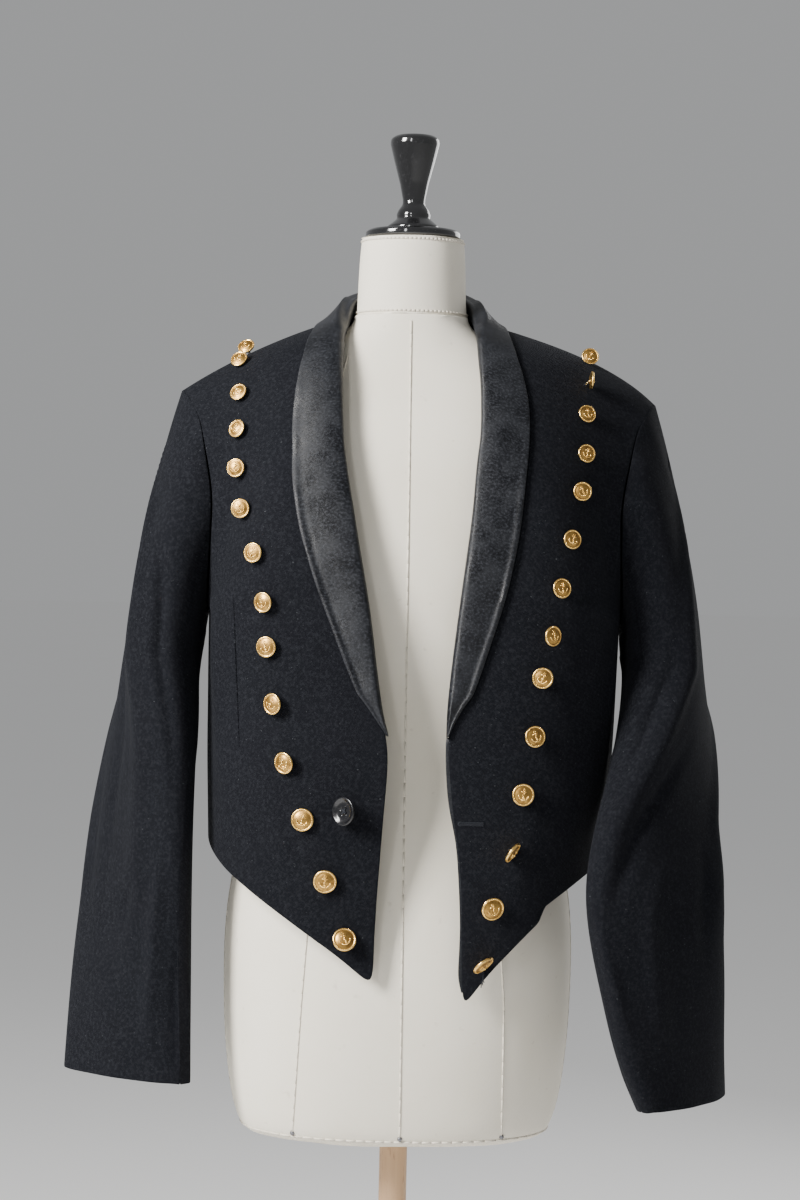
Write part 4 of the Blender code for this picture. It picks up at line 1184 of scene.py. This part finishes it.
def cloth_pieces():
    """All walls of the jacket: smoothed, set in, folded and mapped, each in its solid's place."""
    cloth = {}
    for side in ("right", "left"):
        for part in ("front_", "back_", "sleeve_top_", "sleeve_under_"):
            cloth[part + side] = soft_copy(part + side, WOOL, 3, 55, CLOTH_CREASE)
        cloth["collar_" + side] = soft_copy("collar_" + side, SATIN, 3, 60, CLOTH_CREASE)
    cloth["facing_left"] = soft_copy("facing_left", SATIN, 2, 60, CLOTH_CREASE)
    for side in ("right", "left"):
        body_tree = tree_of(cloth["front_" + side], cloth["back_" + side])
        for part in ("sleeve_top_", "sleeve_under_"):
            set_in(cloth[part + side], body_tree)
    for name, rows in FOLDS.items():
        press_folds(cloth[name], rows)
    for side in ("right", "left"):
        cuff_z = ARM[side][-1][0]
        for part in ("sleeve_top_", "sleeve_under_"):
            wave_edge(cloth[part + side], cuff_z, *CUFF_WAVE, CUFF_SHIFT[side])
        even_back_hem(cloth["back_" + side])
        wave_edge(cloth["back_" + side], BACK_HEM_Z, *BACK_WAVE, BACK_SHIFT[side])
        shape_collar(cloth["collar_" + side])
    lift_hem(cloth["front_left"])
    draw_up(cloth["facing_left"], FACING_REACH, FACING_RISE)
    for name, piece in cloth.items():
        weave_map(piece)
        side = "right" if "right" in name else "left"
    return cloth


def form_pieces():
    """The dress form, from its finial to its foot."""
    torso, neck = (soft_copy(node, CANVAS, 2, 50, FORM_CREASE)
                   for node in ("form_torso", "form_neck"))
    weave_map(torso)
    weave_map(neck)
    for node, mat, slot in (("neck_cap", LACQUER, "black_gloss"), ("finial", LACQUER, "black_gloss"),
                            ("pole", WOOD, "pale_wood"), ("base", WOOD_FLAT, "pale_wood"),
                            ("base_socket", WOOD, "pale_wood")):
        turned_copy(node, mat)
    form_seams(torso, neck)


def trimmings(cloth):
    """Buttons, dart, buttonhole and threads."""
    stamp = button_stamp()
    for before, side in ((0, "right"), (14, "left")):
        for number in range(1, 15):
            gold_button("button_%s_%02d" % (side, number), before + number, stamp)
    stamp.free()
    dark_button()
    right, left = tree_of(cloth["front_right"]), tree_of(cloth["front_left"])
    dart(right)
    buttonhole(left)
    loose_thread(left)


def camera():
    """The photograph's camera."""
    lens = bpy.data.cameras.new("camera")
    lens.lens = CAMERA_LENS
    lens.clip_end = 100.0
    eye = bpy.data.objects.new("camera", lens)
    bpy.context.scene.collection.objects.link(eye)
    eye.location = CAMERA_AT
    level = Matrix.Rotation(math.radians(90.0 - CAMERA_DOWN), 3, "X")
    eye.rotation_euler = (level @ Matrix.Rotation(math.radians(CAMERA_ROLL), 3, "Z")).to_euler()
    bpy.context.scene.camera = eye


def lamp(name, location, target, size, energy, colour=(1.0, 1.0, 1.0)):
    """One soft studio light."""
    data = bpy.data.lights.new(name, "AREA")
    data.shape = "RECTANGLE"
    data.size, data.size_y = size
    data.energy = energy
    data.color = colour
    light = bpy.data.objects.new(name, data)
    bpy.context.scene.collection.objects.link(light)
    light.location = location
    light.rotation_euler = (Vector(target) - Vector(location)).to_track_quat("-Z", "Y").to_euler()


def studio():
    """Plain pale floor, a pale world and soft lights, the strongest from the upper left."""
    bm = bmesh.new()
    bmesh.ops.create_circle(bm, cap_ends=True, segments=96, radius=60.0)
    floor = new_piece("floor", bm, FLOOR)
    world = bpy.data.worlds.new("studio_air")
    world.use_nodes = True
    air = world.node_tree.nodes["Background"].inputs
    air["Color"].default_value = (0.86, 0.87, 0.88, 1.0)
    air["Strength"].default_value = 0.42
    bpy.context.scene.world = world
    lamp("window", (-1.9, -1.45, 2.35), (0.0, 0.0, 1.15), (0.7, 1.3), 205.0, (1.0, 0.985, 0.96))
    lamp("strip", (-0.9, -2.7, 2.2), (0.0, 0.0, 1.3), (0.22, 1.2), 14.0)
    lamp("rim", (1.9, 2.2, 1.9), (0.1, 0.0, 1.2), (1.7, 2.0), 34.0)


camera()
cloth = cloth_pieces()
form_pieces()
trimmings(cloth)
studio()
